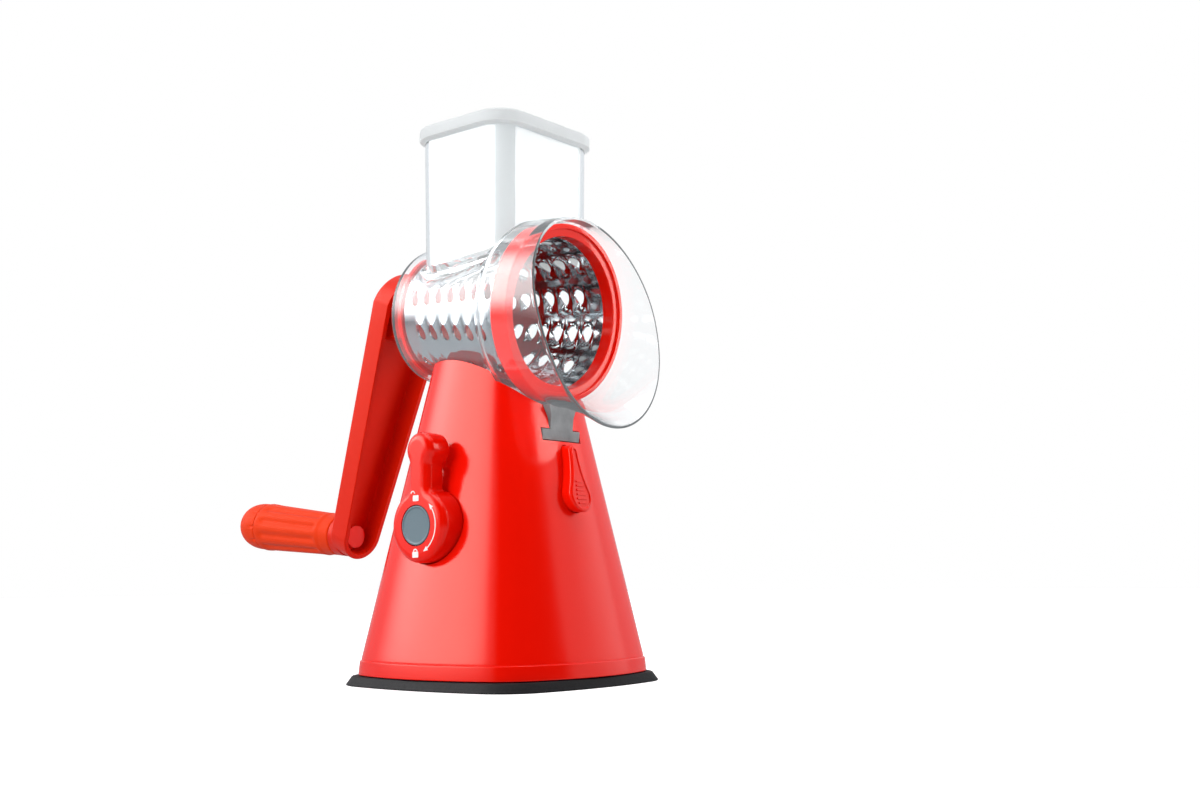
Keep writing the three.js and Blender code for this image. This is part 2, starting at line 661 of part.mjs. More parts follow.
function makeLeverKnob() {
  const spot = [0, leverHeight];
  const edge = 2.2;
  const chamfered = turned([
    [0, -knobBack],
    [KNOB_R, -knobBack],
    [KNOB_R, -leverFace - edge],
    [KNOB_R - edge * 0.3, -leverFace - edge * 0.3],
    [KNOB_R - edge, -leverFace],
    [0, -leverFace],
  ]);
  chamfered.rotateZ(Math.PI / 2).translate(0, 0, leverHeight);
  const handleBack = leverFace + HANDLE_THICK;
  const handle = prism(handleOutline(), "x", leverFace, handleBack);
  const bulb = rod(
    HANDLE_BULB - GAP, "x", handleBack - 1, handleBack + BULB_DEEPER,
    [0, leverHeight + HANDLE_TIP - HANDLE_BULB]);
  return cut(
    join(solid(chamfered), handle, bulb),
    rod(LEVER_CAP_R + GAP, "x", leverFace - 1, capSeat, spot, ROUND),
    rod(leverScrewHeadR + GAP, "x", leverFace, screwSeat, spot),
    rod(leverScrewR + GAP, "x", leverFace, knobBack + 1, spot, SCREW_ROUND),
    rod(CAM_R + GAP, "x", shaftEnd - GAP, knobBack + 1, spot),
  );
}

const makeLeverCap = () =>
  rod(LEVER_CAP_R, "x", leverFace, leverFace + LEVER_CAP_THICK, [0, leverHeight], ROUND);

function makeLeverScrew() {
  const head = rod(leverScrewHeadR, "x", capSeat + GAP, screwSeat - GAP, [0, leverHeight]);
  const shank = rod(leverScrewR, "x", capSeat + 1, shaftEnd + 12, [0, leverHeight], SCREW_ROUND);
  return join(head, shank);
}

// ---------------------------------------------------------------- release button and latch

const guideScrewSpots = [[-11.5, boltY], [11.5, boltY]];
const boltFoot = boltSeat - BOLT_LENGTH;
const rampLow = boltFoot + RAMP_RISE;
const guideBottom = boltFoot - BUTTON_TRAVEL - 8;
const springSeat = guideBottom + 2.2;
const boltFront = boltY - BOLT_HALF_Y;
const rampTop = rampLow + RAMP_RUN;
const rampFoot = boltFront - BUTTON_TRAVEL - RAMP_RUN;
const stemBottom = rampLow + 2.5;
const stemTop = stemBottom + 5.5;

function makeReleaseButton() {
  const pad = leaned(prism(teardrop(0), "y", faceAtTable - BUTTON_PROUD, faceAtTable + 4.5));
  const flange = leaned(prism(
    teardrop(BUTTON_FLANGE), "y", faceAtTable + STAND_WALL + 0.8, faceAtTable + STAND_WALL + 2.4));
  const slope = RUNNING * Math.SQRT2;
  const chamferAt = (z) => rampFoot + (z - rampLow) - slope;
  const stem = prism(polygon([
    [faceAtTable + STAND_TAPER * stemBottom + 1, stemBottom],
    [chamferAt(stemBottom), stemBottom],
    [chamferAt(stemTop - 1.5), stemTop - 1.5],
    [chamferAt(stemTop - 1.5), stemTop],
    [faceAtTable + STAND_TAPER * stemBottom + 1, stemTop],
  ]), "x", -3.5, 3.5);
  return join(pad, flange, stem);
}

function makeLatchBolt() {
  const body = block(
    -BOLT_HALF_X, BOLT_HALF_X, boltFront, boltY + BOLT_HALF_Y, boltFoot, boltSeat + BOLT_BITE);
  const shoulder = prism(polygon([
    [boltFront + 1, rampLow - 3],
    [boltFront + 1, rampTop],
    [rampFoot + RAMP_RUN, rampTop],
    [rampFoot, rampLow],
    [rampFoot, rampLow - 3],
  ]), "x", -BOLT_HALF_X, BOLT_HALF_X);
  return join(body, shoulder);
}

function makeLatchGuide() {
  const outerX = BOLT_HALF_X + RUNNING + 2;
  const rear = boltY + BOLT_HALF_Y + RUNNING + 2;
  const top = blockBottom - GAP;
  const column = block(-outerX, outerX, boltFront + 1, rear, guideBottom, top);
  const flange = block(-15, 15, boltFront + 1, rear, top - 2.4, top);
  const bore = block(
    -BOLT_HALF_X - RUNNING, BOLT_HALF_X + RUNNING, boltFront - 1, boltY + BOLT_HALF_Y + RUNNING,
    springSeat, top + 1);
  return cut(
    join(column, flange),
    bore,
    ...guideScrewSpots.map((spot) => rod(footScrewR + GAP, "z", top - 5, top + 1, spot, SCREW_ROUND)),
  );
}

// ---------------------------------------------------------------- housing and pusher

const hopperTop = AXIS_HEIGHT + HOPPER_RISE;
const plinthTop = AXIS_HEIGHT + PLINTH_RISE;

function hopperForm(inset, bottom, top) {
  const halfX = HOPPER_HALF_X - inset - HOPPER_DRAFT * (hopperTop - bottom);
  const halfY = HOPPER_HALF_Y - inset - HOPPER_DRAFT * (hopperTop - bottom);
  const outline = roundedRectangle(halfX, halfY, Math.max(1, HOPPER_CORNER - inset));
  const topHalf = HOPPER_HALF_X - inset - HOPPER_DRAFT * (hopperTop - top);
  return tapered(outline, bottom, top, topHalf / halfX, HOPPER_CENTRE_Y);
}

function makeHousing() {
  const barrel = moved(solid(drawGuard(turned(barrelProfile(0, barrelRear)))), drumLine);
  const rearFace = barrelRear - HOUSING_WALL;
  const bore = drawGuard(turned(barrelProfile(-HOUSING_WALL, rearFace, 0.3)));
  const barrelBore = moved(solid(bore), drumLine);
  const bearing = moved(
    rod(COLLAR_R + RUNNING, "y", rearFace - 1, barrelRear + 1, [0, 0], ROUND), drumLine);
  const plinthHalf = [HOPPER_HALF_X + PLINTH_STEP, HOPPER_HALF_Y + PLINTH_STEP];
  const plinth = tapered(
    roundedRectangle(plinthHalf[0], plinthHalf[1], HOPPER_CORNER),
    plinthTop - PLINTH_HEIGHT, plinthTop, 1, HOPPER_CENTRE_Y);
  const rail = moved(prism(railOutline(0), "y", railFront - RAIL_NOSE, railEnd), drumLine);
  const notch = block(
    -BOLT_HALF_X - RUNNING, BOLT_HALF_X + RUNNING, boltFront - RUNNING,
    boltY + BOLT_HALF_Y + RUNNING, boltSeat - 3, boltSeat + BOLT_BITE + RUNNING);
  return cut(
    join(barrel, hopperForm(0, AXIS_HEIGHT, hopperTop), plinth, rail),
    barrelBore,
    hopperForm(HOUSING_WALL, AXIS_HEIGHT, hopperTop + 1),
    bearing,
    notch,
  );
}

const coneR = (y) =>
  CONE_REAR_R + ((CONE_FRONT_R - CONE_REAR_R) * (CONE_REAR - y)) / (CONE_REAR - CONE_FRONT);

// The drum's swept outside grown by a distance, long enough to arch the pusher
function drumSweep(grow) {
  const reach = 60;
  return moved(solid(turned([
    [0, -reach], [coneR(-reach) + grow, -reach], [coneR(reach) + grow, reach], [0, reach],
  ])), drumLine);
}

const archGrow = TOOTH_HEIGHT + PUSHER_TOOTH_GAP;
const pusherTop = hopperTop + GAP;
const pusherInset = HOUSING_WALL + PUSHER_SIDE_GAP;

function makePusherBody() {
  const form = hopperForm(pusherInset, AXIS_HEIGHT, pusherTop);
  const hollow = hopperForm(pusherInset + PUSHER_WALL, AXIS_HEIGHT, pusherTop + 1);
  return cut(
    form,
    drumSweep(archGrow),
    cut(hollow, drumSweep(archGrow + PUSHER_WALL)),
  );
}

function makePusherCap() {
  const bottom = pusherTop + GAP;
  const halfX = HOPPER_HALF_X + CAP_OVERHANG;
  const halfY = HOPPER_HALF_Y + CAP_OVERHANG;
  const corner = HOPPER_CORNER + CAP_OVERHANG;
  const plate = tapered(
    roundedRectangle(halfX, halfY, corner), bottom, bottom + CAP_THICK - 2, 1, HOPPER_CENTRE_Y);
  const crown = tapered(
    roundedRectangle(halfX, halfY, corner), bottom + CAP_THICK - 2, bottom + CAP_THICK, 0.95,
    HOPPER_CENTRE_Y);
  const spigot = hopperForm(pusherInset + PUSHER_WALL + GAP, bottom - CAP_SPIGOT, bottom + 1);
  return join(plate, crown, spigot);
}

// ---------------------------------------------------------------- drum

const ringRear = RING_FRONT + RING_LENGTH;
const plateFront = CONE_REAR + GAP;
const plateRear = plateFront + PLATE_THICK;
const collarEnd = plateRear + COLLAR_LENGTH;
const shaftTip = collarEnd + SHAFT_LENGTH;

function makeDrumCone() {
  const cone = solid(turnedRing([
    [CONE_FRONT_R - CONE_WALL, CONE_FRONT],
    [CONE_FRONT_R, CONE_FRONT],
    [CONE_REAR_R, CONE_REAR],
    [CONE_REAR_R - CONE_WALL, CONE_REAR],
  ], CONE_ROUND));
  const length = CONE_REAR - CONE_FRONT;
  const holes = [];
  for (let row = 0; row < HOLE_ROWS; row += 1) {
    const count = HOLES_PER_ROW - (row % 2);
    const angle = ((row + FIRST_ROW) * 2 * Math.PI) / HOLE_ROWS;
    const first = CONE_FRONT + length / 2 - ((count - 1) * HOLE_PITCH) / 2;
    for (let n = 0; n < count; n += 1) {
      const hole = new THREE.CylinderGeometry(HOLE_R, HOLE_R, 12, 4);
      hole.translate(0, coneR(first + n * HOLE_PITCH), 0);
      hole.rotateX(Math.PI / 2).rotateY(angle).translate(0, first + n * HOLE_PITCH, 0);
      holes.push(solid(hole));
    }
  }
  return cut(cone, ...holes);
}

function makeDrumRing() {
  const rebate = CONE_FRONT - GAP;
  const coneRoom = coneR(ringRear) + GAP + 0.3;
  return solid(turnedRing([
    [RING_BORE_R, RING_FRONT + RING_DISH],
    [RING_LIP_R, RING_FRONT + RING_DISH],
    [RING_LIP_R, RING_FRONT],
    [RING_R, RING_FRONT],
    [RING_R, ringRear],
    [coneRoom, ringRear],
    [coneRoom, rebate],
    [RING_BORE_R, rebate],
  ]));
}

function makeDrumHub() {
  const plug = coneR(CONE_REAR) - CONE_WALL - GAP;
  const disc = solid(turned([
    [0, plateFront - 2.2],
    [plug, plateFront - 2.2],
    [plug, plateFront],
    [PLATE_R, plateFront],
    [PLATE_R, plateRear],
    [COLLAR_R, plateRear],
    [COLLAR_R, collarEnd],
    [0, collarEnd],
  ]));
  const half = SHAFT_SIDE / 2;
  const core = half - SHAFT_WALL;
  const collarSize = rod(COLLAR_R, "y", collarEnd - 2, shaftTip + 1, [0, 0], ROUND);
  const square = block(-half, half, collarEnd - 1, shaftTip, -half, half).intersect(collarSize);
  const windowEnd = shaftTip - 2.4;
  const windowStart = windowEnd - WINDOW_SIDE;
  const side = WINDOW_SIDE / 2;
  return cut(
    join(disc, square),
    block(-core, core, collarEnd + 2, shaftTip + 1, -core, core),
    block(-half - 1, half + 1, windowStart, windowEnd, -side, side),
    block(-side, side, windowStart, windowEnd, -half - 1, half + 1),
  );
}

// ---------------------------------------------------------------- crank

// Grip line: parallel to the drum axis through the middle of the arm's lower end
const gripHeight = -ARM_LENGTH * Math.cos(ARM_SLANT);
const gripStart = ARM_FACE + ARM_LENGTH * Math.sin(ARM_SLANT);
const sleeveStart = gripStart + GRIP_BOSS_END + RUNNING;
const sleeveEnd = gripStart + GRIP_END - GRIP_CAP_LENGTH;
const sleeveR = (y) =>
  GRIP_NECK_R + ((GRIP_R - GRIP_NECK_R) * (y - sleeveStart)) / (sleeveEnd - sleeveStart);
const spindleStart = gripStart + ARM_DEPTH - ARM_WALL - 5;
const spindleEnd = spindleStart + SPINDLE_LENGTH;
const spindleScrewR = 1.6;
const washerR = 7;
const washerThick = 1.2;

function gripRod(radius, start, end, sides = SMALL_ROUND) {
  return rod(radius, "y", start, end, [0, gripHeight], sides);
}

function makeCrankArm() {
  const channel = cut(
    prism(strap(ARM_HUB_R, ARM_END_R, ARM_LENGTH), "y", 0, ARM_DEPTH),
    prism(
      strap(ARM_HUB_R - ARM_WALL, ARM_END_R - ARM_WALL, ARM_LENGTH), "y",
      -1, ARM_DEPTH - ARM_WALL),
  );
  const outer = SHAFT_SIDE / 2 + RUNNING + SOCKET_WALL;
  const inner = SHAFT_SIDE / 2 + RUNNING;
  const socketStart = collarEnd + RUNNING;
  const reach = moved(prism(strap(ARM_HUB_R, ARM_END_R, ARM_LENGTH), "y", -40, ARM_DEPTH - 1), armPlace);
  const socket = block(-outer, outer, socketStart, ARM_FACE + 40, -outer, outer).intersect(reach);
  const boss = gripRod(ARM_END_R - 1.4, gripStart + ARM_DEPTH - ARM_WALL, gripStart + GRIP_BOSS_END);
  return cut(
    join(moved(channel, armPlace), socket, boss),
    block(-inner, inner, socketStart - 1, shaftTip + 1.2, -inner, inner),
    gripRod(SPINDLE_R + GAP, gripStart, gripStart + 30),
    gripRod(SPINDLE_HEAD_R + GAP, gripStart, spindleStart + 2.5),
  );
}

function makeGripSpindle() {
  return cut(
    join(
      gripRod(SPINDLE_HEAD_R, spindleStart, spindleStart + 2.2),
      gripRod(SPINDLE_R, spindleStart + 1, spindleEnd),
    ),
    gripRod(spindleScrewR + GAP, spindleEnd - 12, spindleEnd + 1, SCREW_ROUND),
  );
}

function makeGripSleeve() {
  const bore = SPINDLE_R + RUNNING;
  const well = washerR + RUNNING;
  const wellStart = spindleEnd - RUNNING;
  const neckEnd = sleeveStart + 6;
  const body = turned([
    [0, sleeveStart], [GRIP_NECK_R - 0.6, sleeveStart], [GRIP_NECK_R, sleeveStart + 0.6],
    [GRIP_NECK_R, neckEnd], [sleeveR(neckEnd) + 0.6, neckEnd + 1], [GRIP_R, sleeveEnd], [0, sleeveEnd],
  ], 24);
  body.translate(0, 0, gripHeight);
  return cut(
    solid(body),
    gripRod(bore, sleeveStart - 1, sleeveEnd + 1),
    gripRod(well, wellStart, sleeveEnd + 1),
  );
}

function makeGripCap() {
  const well = washerR + RUNNING;
  const spigotR = well - GAP;
  const start = sleeveEnd + GAP;
  const round = GRIP_END + gripStart - start - 4;
  const profile = [
    [0, start - 2],
    [spigotR, start - 2],
    [spigotR, start],
    [GRIP_R, start],
    [GRIP_R, start + 4],
  ];
  const arcSteps = 6;
  for (let i = 1; i <= arcSteps; i += 1) {
    const angle = (i * Math.PI) / 2 / arcSteps;
    profile.push([i === arcSteps ? 0 : GRIP_R * Math.cos(angle), start + 4 + round * Math.sin(angle)]);
  }
  const body = turned(profile, 24);
  body.translate(0, 0, gripHeight);
  return solid(body);
}

const makeGripWasher = () => cut(
  gripRod(washerR, spindleEnd + GAP, spindleEnd + GAP + washerThick),
  gripRod(spindleScrewR + GAP, spindleEnd, spindleEnd + 5, SCREW_ROUND),
);

function makeGripScrew() {
  const seat = spindleEnd + 2 * GAP + washerThick;
  return join(
    gripRod(4, seat, seat + 2.4),
    gripRod(spindleScrewR, spindleEnd - 10, seat + 1, SCREW_ROUND),
  );
}

// ---------------------------------------------------------------- assembly

const stand = new THREE.Group();
stand.add(
  piece("base_body", makeBaseBody(), plastic(RED, 0.16)),
  piece("suction_pad", makeSuctionPad(), plastic(BLACK, 0.55)),
  piece("base_plate", makeBasePlate(), plastic(RED, 0.4)),
  piece("axle_bracket", makeAxleBracket(), plastic(NYLON, 0.4)),
  piece("latch_guide", makeLatchGuide(), plastic(NYLON, 0.4)),
);
footScrewSpots.forEach((spot, i) => {
  const body = screw(3, 2.4, footScrewR, 12, FLOOR_Z - GAP, spot, "up");
  stand.add(piece(`base_screw_${i + 1}`, body, metal(ZINC, 0.35)));
});
bracketScrewSpots.forEach((spot, i) => {
  const seat = floorTop + 2 * GAP + BRACKET_WALL;
  const body = screw(3, 2.4, footScrewR, 6, seat, spot, "down");
  stand.add(piece(`bracket_screw_${i + 1}`, body, metal(ZINC, 0.35)));
});
guideScrewSpots.forEach((spot, i) => {
  const seat = blockBottom - 2 * GAP - 2.4;
  const body = screw(2.8, 2, footScrewR, 4.6, seat, spot, "up");
  stand.add(piece(`guide_screw_${i + 1}`, body, metal(ZINC, 0.35)));
});

const springStand = new THREE.Group();
springStand.position.set(0, boltY, 0);
springStand.add(
  piece("latch_spring", coilSpring(2.3, 0.4, springSeat + GAP, boltFoot - GAP, 5), metal(STEEL, 0.3)),
);

const lift = new THREE.Group();
lift.add(
  piece("lift_stud", makeLiftStud(), plastic(NYLON, 0.4)),
  piece("lift_yoke", makeLiftYoke(), plastic(NYLON, 0.4)),
  piece("lift_spring", coilSpring(
    8, 0.75, collarBottom + STUD_COLLAR_THICK + GAP, barBottom - GAP, 5), metal(STEEL, 0.3)),
);

const lever = new THREE.Group();
lever.add(
  piece("lever_knob", makeLeverKnob(), plastic(RED, 0.18)),
  piece("lever_cap", makeLeverCap(), plastic(GREY, 0.35)),
  piece("lever_screw", makeLeverScrew(), metal(ZINC, 0.35)),
  piece("cam_shaft", makeCamShaft(), metal(STEEL, 0.35)),
);

const latch = new THREE.Group();
latch.add(
  piece("release_button", makeReleaseButton(), plastic(RED, 0.2)),
  piece("latch_bolt", makeLatchBolt(), plastic(NYLON, 0.4)),
);

const top = new THREE.Group();
top.add(
  piece("housing", makeHousing(), clear()),
  piece("pusher_body", makePusherBody(), plastic(MILK, 0.3)),
  piece("pusher_cap", makePusherCap(), plastic(MILK, 0.35)),
);

const drumGroup = new THREE.Group();
drumGroup.position.set(0, 0, AXIS_HEIGHT);
drumGroup.rotation.x = AXIS_TILT;
drumGroup.add(
  piece("drum_cone", makeDrumCone(), metal(STEEL, 0.08)),
  piece("drum_ring", makeDrumRing(), plastic(RED, 0.16)),
  piece("drum_hub", makeDrumHub(), plastic(RED, 0.2)),
  piece("crank_arm", makeCrankArm(), plastic(RED, 0.2)),
  piece("grip_spindle", makeGripSpindle(), plastic(RED, 0.3)),
  piece("grip_sleeve", makeGripSleeve(), plastic(GRIP_RED, 0.35)),
  piece("grip_cap", makeGripCap(), plastic(GRIP_RED, 0.35)),
  piece("grip_washer", makeGripWasher(), metal(ZINC, 0.35)),
  piece("grip_screw", makeGripScrew(), metal(ZINC, 0.35)),
);

const grater = new THREE.Group();
grater.add(stand, springStand, lift, lever, latch, top, drumGroup);

export default grater;
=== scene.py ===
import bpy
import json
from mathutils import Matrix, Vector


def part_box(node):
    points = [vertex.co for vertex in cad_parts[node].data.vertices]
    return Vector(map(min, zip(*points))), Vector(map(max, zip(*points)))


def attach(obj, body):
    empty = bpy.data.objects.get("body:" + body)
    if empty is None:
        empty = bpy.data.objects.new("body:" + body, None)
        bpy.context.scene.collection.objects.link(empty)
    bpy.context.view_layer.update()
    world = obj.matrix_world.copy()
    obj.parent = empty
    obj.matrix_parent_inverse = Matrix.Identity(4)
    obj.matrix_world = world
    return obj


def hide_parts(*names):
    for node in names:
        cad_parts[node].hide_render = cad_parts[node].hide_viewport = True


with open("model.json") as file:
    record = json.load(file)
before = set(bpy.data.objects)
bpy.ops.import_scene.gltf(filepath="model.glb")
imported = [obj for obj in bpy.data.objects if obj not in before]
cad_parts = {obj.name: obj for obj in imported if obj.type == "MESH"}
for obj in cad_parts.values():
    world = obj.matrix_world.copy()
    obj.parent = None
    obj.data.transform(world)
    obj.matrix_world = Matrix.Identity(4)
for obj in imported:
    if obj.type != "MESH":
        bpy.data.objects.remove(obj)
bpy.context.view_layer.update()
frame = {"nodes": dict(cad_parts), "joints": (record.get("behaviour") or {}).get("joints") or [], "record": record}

import json
import math

import bmesh
import bpy
from mathutils import Matrix, Vector

MM = 0.001
print("nodes in the frame:", len(frame["nodes"]))

# %% [markdown]
# ## Where things are
# Nearly everything up top follows the drum's axis, which leans a few degrees so that the food
# falls out of the mouth. It could be typed in again, but the crank's joint already knows it, so
# the drum line is worked out from that joint: local Y runs back along the axis, local Z is up.
# %% The drum line, from the crank's joint
joints = {joint["name"]: joint for joint in frame["joints"]}
crank_axis = Vector(joints["crank_spin"]["axis"])
crank_point = Vector(joints["crank_spin"]["pos_m"]) / MM
axis_tilt = math.atan2(crank_axis.z, crank_axis.y)
axis_height = (crank_point - crank_axis * (crank_point.y / crank_axis.y)).z
DRUM_LINE = Matrix.Translation((0, 0, axis_height)) @ Matrix.Rotation(axis_tilt, 4, "X")
print("drum axis height", round(axis_height, 2), "tilt", round(math.degrees(axis_tilt), 2))

# %% Measuring a node of the frame in millimetres
def measured(node):
    low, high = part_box(node)
    return low / MM, high / MM


# %% [markdown]
# ## Small tools
# Three ways of making a form cover this machine. A skin is a ring of points that is extruded
# level by level, for bodies whose plan changes with height. A turned form is a profile spun
# about an axis. A prism is a flat outline pulled through. Corners are rounded in the outline,
# because a bevel on a finished mesh is harder to steer. Booleans then join and cut them, much
# as a mould is cut.
# %% Outlines
def rounded(corners, steps=5, closed=True):
    """Outline through (x, y, radius) corners, each turned with an arc of its own radius."""
    points = []
    for number, (x, y, radius) in enumerate(corners):
        here = Vector((x, y))
        at_end = not closed and number in (0, len(corners) - 1)
        if radius == 0 or at_end:
            points.append(here)
            continue
        back = (Vector(corners[number - 1][:2]) - here).normalized()
        on = (Vector(corners[(number + 1) % len(corners)][:2]) - here).normalized()
        half = back.angle(on) / 2
        centre = here + (back + on).normalized() * (radius / math.sin(half))
        start = here + back * (radius / math.tan(half)) - centre
        end = here + on * (radius / math.tan(half)) - centre
        first = math.atan2(start.y, start.x)
        sweep = (math.atan2(end.y, end.x) - first + math.pi) % (2 * math.pi) - math.pi
        for step in range(steps + 1):
            angle = first + sweep * step / steps
            points.append(centre + radius * Vector((math.cos(angle), math.sin(angle))))
    return points


def rounded_box(half, low, high, radius, steps):
    corners = [(-half, low, radius), (half, low, radius), (half, high, radius), (-half, high, radius)]
    return rounded(corners, steps)


def arc(centre, radius, start, end, steps):
    """Points on an arc, angles in degrees, without its last point."""
    angles = [math.radians(start + (end - start) * step / steps) for step in range(steps)]
    return [Vector(centre) + radius * Vector((math.cos(a), math.sin(a))) for a in angles]


# %% Skins, turned forms and prisms
def skin(rings, ends=True):
    """A body through rings of points, all with the same number of points."""
    count = len(rings[0])
    bm = bmesh.new()
    bmesh.ops.create_circle(bm, cap_ends=False, segments=count, radius=1)
    edges = bm.edges[:]
    for _ in rings[1:]:
        fresh = bmesh.ops.extrude_edge_only(bm, edges=edges)["geom"]
        verts = {item for item in fresh if isinstance(item, bmesh.types.BMVert)}
        bmesh.ops.translate(bm, verts=list(verts), vec=(0, 0, 1))
        lines = [item for item in fresh if isinstance(item, bmesh.types.BMEdge)]
        edges = [line for line in lines if verts.issuperset(line.verts)]
    if ends:
        bmesh.ops.holes_fill(bm, edges=[e for e in bm.edges if e.is_boundary], sides=0)
    for vert in bm.verts:
        turn = (math.atan2(vert.co.y, vert.co.x) - math.pi / 2) / (2 * math.pi)
        vert.co = rings[round(vert.co.z)][round(turn * count) % count]
    return bm


def turned(profile, sides=128, closed=False):
    """A profile of (radius, y) points spun about Y."""
    bm = bmesh.new()
    verts = [bm.verts.new((radius, y, 0)) for radius, y in profile]
    for start, end in zip(verts, verts[1:]):
        bm.edges.new((start, end))
    if closed:
        bm.edges.new((verts[-1], verts[0]))
    bmesh.ops.spin(
        bm, geom=bm.verts[:] + bm.edges[:], axis=(0, 1, 0), cent=(0, 0, 0), dvec=(0, 0, 0),
        angle=2 * math.pi, steps=sides, use_merge=True)
    bmesh.ops.remove_doubles(bm, verts=bm.verts, dist=0.0005)
    return bm


def prism(outline, start, end, along="y"):
    """A flat outline pulled along an axis; its own two axes are the other two, in order."""
    turn = {"x": lambda p, d: (d, p[0], p[1]), "y": lambda p, d: (p[0], d, p[1]),
            "z": lambda p, d: (p[0], p[1], d)}[along]
    bm = bmesh.new()
    face = bm.faces.new([bm.verts.new(turn(point, start)) for point in outline])
    pulled = bmesh.ops.extrude_face_region(bm, geom=[face])["geom"]
    verts = [item for item in pulled if isinstance(item, bmesh.types.BMVert)]
    bmesh.ops.translate(bm, verts=verts, vec=turn((0, 0), end - start))
    return bm


def block(x0, x1, y0, y1, z0, z1):
    return prism([(x0, z0), (x1, z0), (x1, z1), (x0, z1)], y0, y1)


# %% From a bmesh to an object, and booleans between objects
def solid(bm, place=None):
    """An object from a bmesh, moved to its place, with its faces pointing out."""
    if place is not None:
        bmesh.ops.transform(bm, matrix=place, verts=bm.verts)
    bmesh.ops.remove_doubles(bm, verts=bm.verts, dist=0.0005)
    bmesh.ops.recalc_face_normals(bm, faces=bm.faces)
    bmesh.ops.scale(bm, vec=(MM, MM, MM), verts=bm.verts)
    mesh = bpy.data.meshes.new("piece")
    bm.to_mesh(mesh)
    bm.free()
    piece = bpy.data.objects.new("piece", mesh)
    bpy.context.scene.collection.objects.link(piece)
    return piece


def settled(piece):
    """Applies the modifiers of an object to its mesh."""
    graph = bpy.context.evaluated_depsgraph_get()
    mesh = bpy.data.meshes.new_from_object(piece.evaluated_get(graph))
    piece.modifiers.clear()
    piece.data = mesh
    return piece


def healed(piece):
    """Merges the corners that a cut has left on top of each other, so the mesh is closed again."""
    bm = bmesh.new()
    bm.from_mesh(piece.data)
    bmesh.ops.remove_doubles(bm, verts=bm.verts, dist=0.002 * MM)
    bm.to_mesh(piece.data)
    bm.free()
    return piece


def worked(piece, operation, tools):
    for tool in tools:
        step = piece.modifiers.new(operation.lower(), "BOOLEAN")
        step.operation = operation
        step.solver = "EXACT"
        step.object = tool
    settled(piece)
    for tool in tools:
        bpy.data.objects.remove(tool)
    return healed(piece)


def cut(piece, *tools):
    return worked(piece, "DIFFERENCE", tools)


def join(piece, *tools):
    return worked(piece, "UNION", tools)


def meet(piece, *tools):
    return worked(piece, "INTERSECT", tools)


def softened(piece, width, segments=2, angle=50):
    """Rounds every edge that is sharper than the angle."""
    bevel = piece.modifiers.new("soft edges", "BEVEL")
    bevel.width = width * MM
    bevel.segments = segments
    bevel.limit_method = "ANGLE"
    bevel.angle_limit = math.radians(angle)
    bevel.miter_outer = "MITER_ARC"
    return settled(piece)


# %% Finishing a piece
def finish(piece, name, body, slot, looks, *nodes, sharp=32):
    """Names a piece, gives it its material and hides the CAD nodes it stands for."""
    piece.name = name
    piece.data.name = name
    piece.data.materials.clear()
    piece.data.materials.append(looks)
    piece.data.shade_smooth()
    piece.data.set_sharp_from_angle(angle=math.radians(sharp))
    weigh = piece.modifiers.new("even shading", "WEIGHTED_NORMAL")
    weigh.keep_sharp = True
    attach(piece, body)
    if nodes:
        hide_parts(*nodes)
    print(name, "faces:", len(piece.data.polygons))
    return piece


# %% [markdown]
# ## Shader arithmetic
# A material here is a short sum, such as a base tone plus a little noise. Written as nodes it
# is long, so a signal wraps a socket and lets plain Python signs add the Math nodes.
# %% Signals
class Signal:
    """A number that changes over a surface."""

    def __init__(self, board, socket):
        self.board = board
        self.socket = socket

    def math(self, operation, first, second):
        return self.board.node("ShaderNodeMath", {"operation": operation}, {0: first, 1: second})

    def __add__(self, other):
        return self.math("ADD", self, other)

    def __radd__(self, other):
        return self.math("ADD", other, self)

    def __mul__(self, other):
        return self.math("MULTIPLY", self, other)

    def __rmul__(self, other):
        return self.math("MULTIPLY", other, self)


# %% A board of nodes
class Board:
    """A node tree that is written in a few lines."""

    def __init__(self, tree):
        self.tree = tree
        self.tree.nodes.clear()

    def node(self, kind, settings=None, sockets=None, output=0):
        made = self.tree.nodes.new(kind)
        for key, value in (settings or {}).items():
            setattr(made, key, value)
        for key, value in (sockets or {}).items():
            if isinstance(value, Signal):
                self.tree.links.new(value.socket, made.inputs[key])
            else:
                made.inputs[key].default_value = value
        return Signal(self, made.outputs[output]) if len(made.outputs) else None

    def place(self, stretch=(1, 1, 1)):
        """The point on the object, in metres, stretched along its axes."""
        where = self.node("ShaderNodeTexCoord", output="Object")
        return self.node("ShaderNodeMapping", {}, {"Vector": where, "Scale": stretch})

    def noise(self, scale, detail=2.0, stretch=(1, 1, 1)):
        sockets = {"Vector": self.place(stretch), "Scale": scale, "Detail": detail}
        return self.node("ShaderNodeTexNoise", {}, sockets)

    def blend(self, share, first, second):
        sockets = {"Factor": share, 6: first, 7: second}
        return self.node("ShaderNodeMix", {"data_type": "RGBA"}, sockets, output=2)

    def bump(self, height, depth):
        sockets = {"Height": height, "Distance": depth, "Strength": 1.0}
        return self.node("ShaderNodeBump", {}, sockets)


def material(name):
    made = bpy.data.materials.new(name)
    made.use_nodes = True
    return made, Board(made.node_tree)


def surface(board, **sockets):
    """The one shader of a plain material, wired to the output."""
    named = {key.replace("_", " "): value for key, value in sockets.items()}
    shader = board.node("ShaderNodeBsdfPrincipled", {}, named)
    board.node("ShaderNodeOutputMaterial", {}, {"Surface": shader})


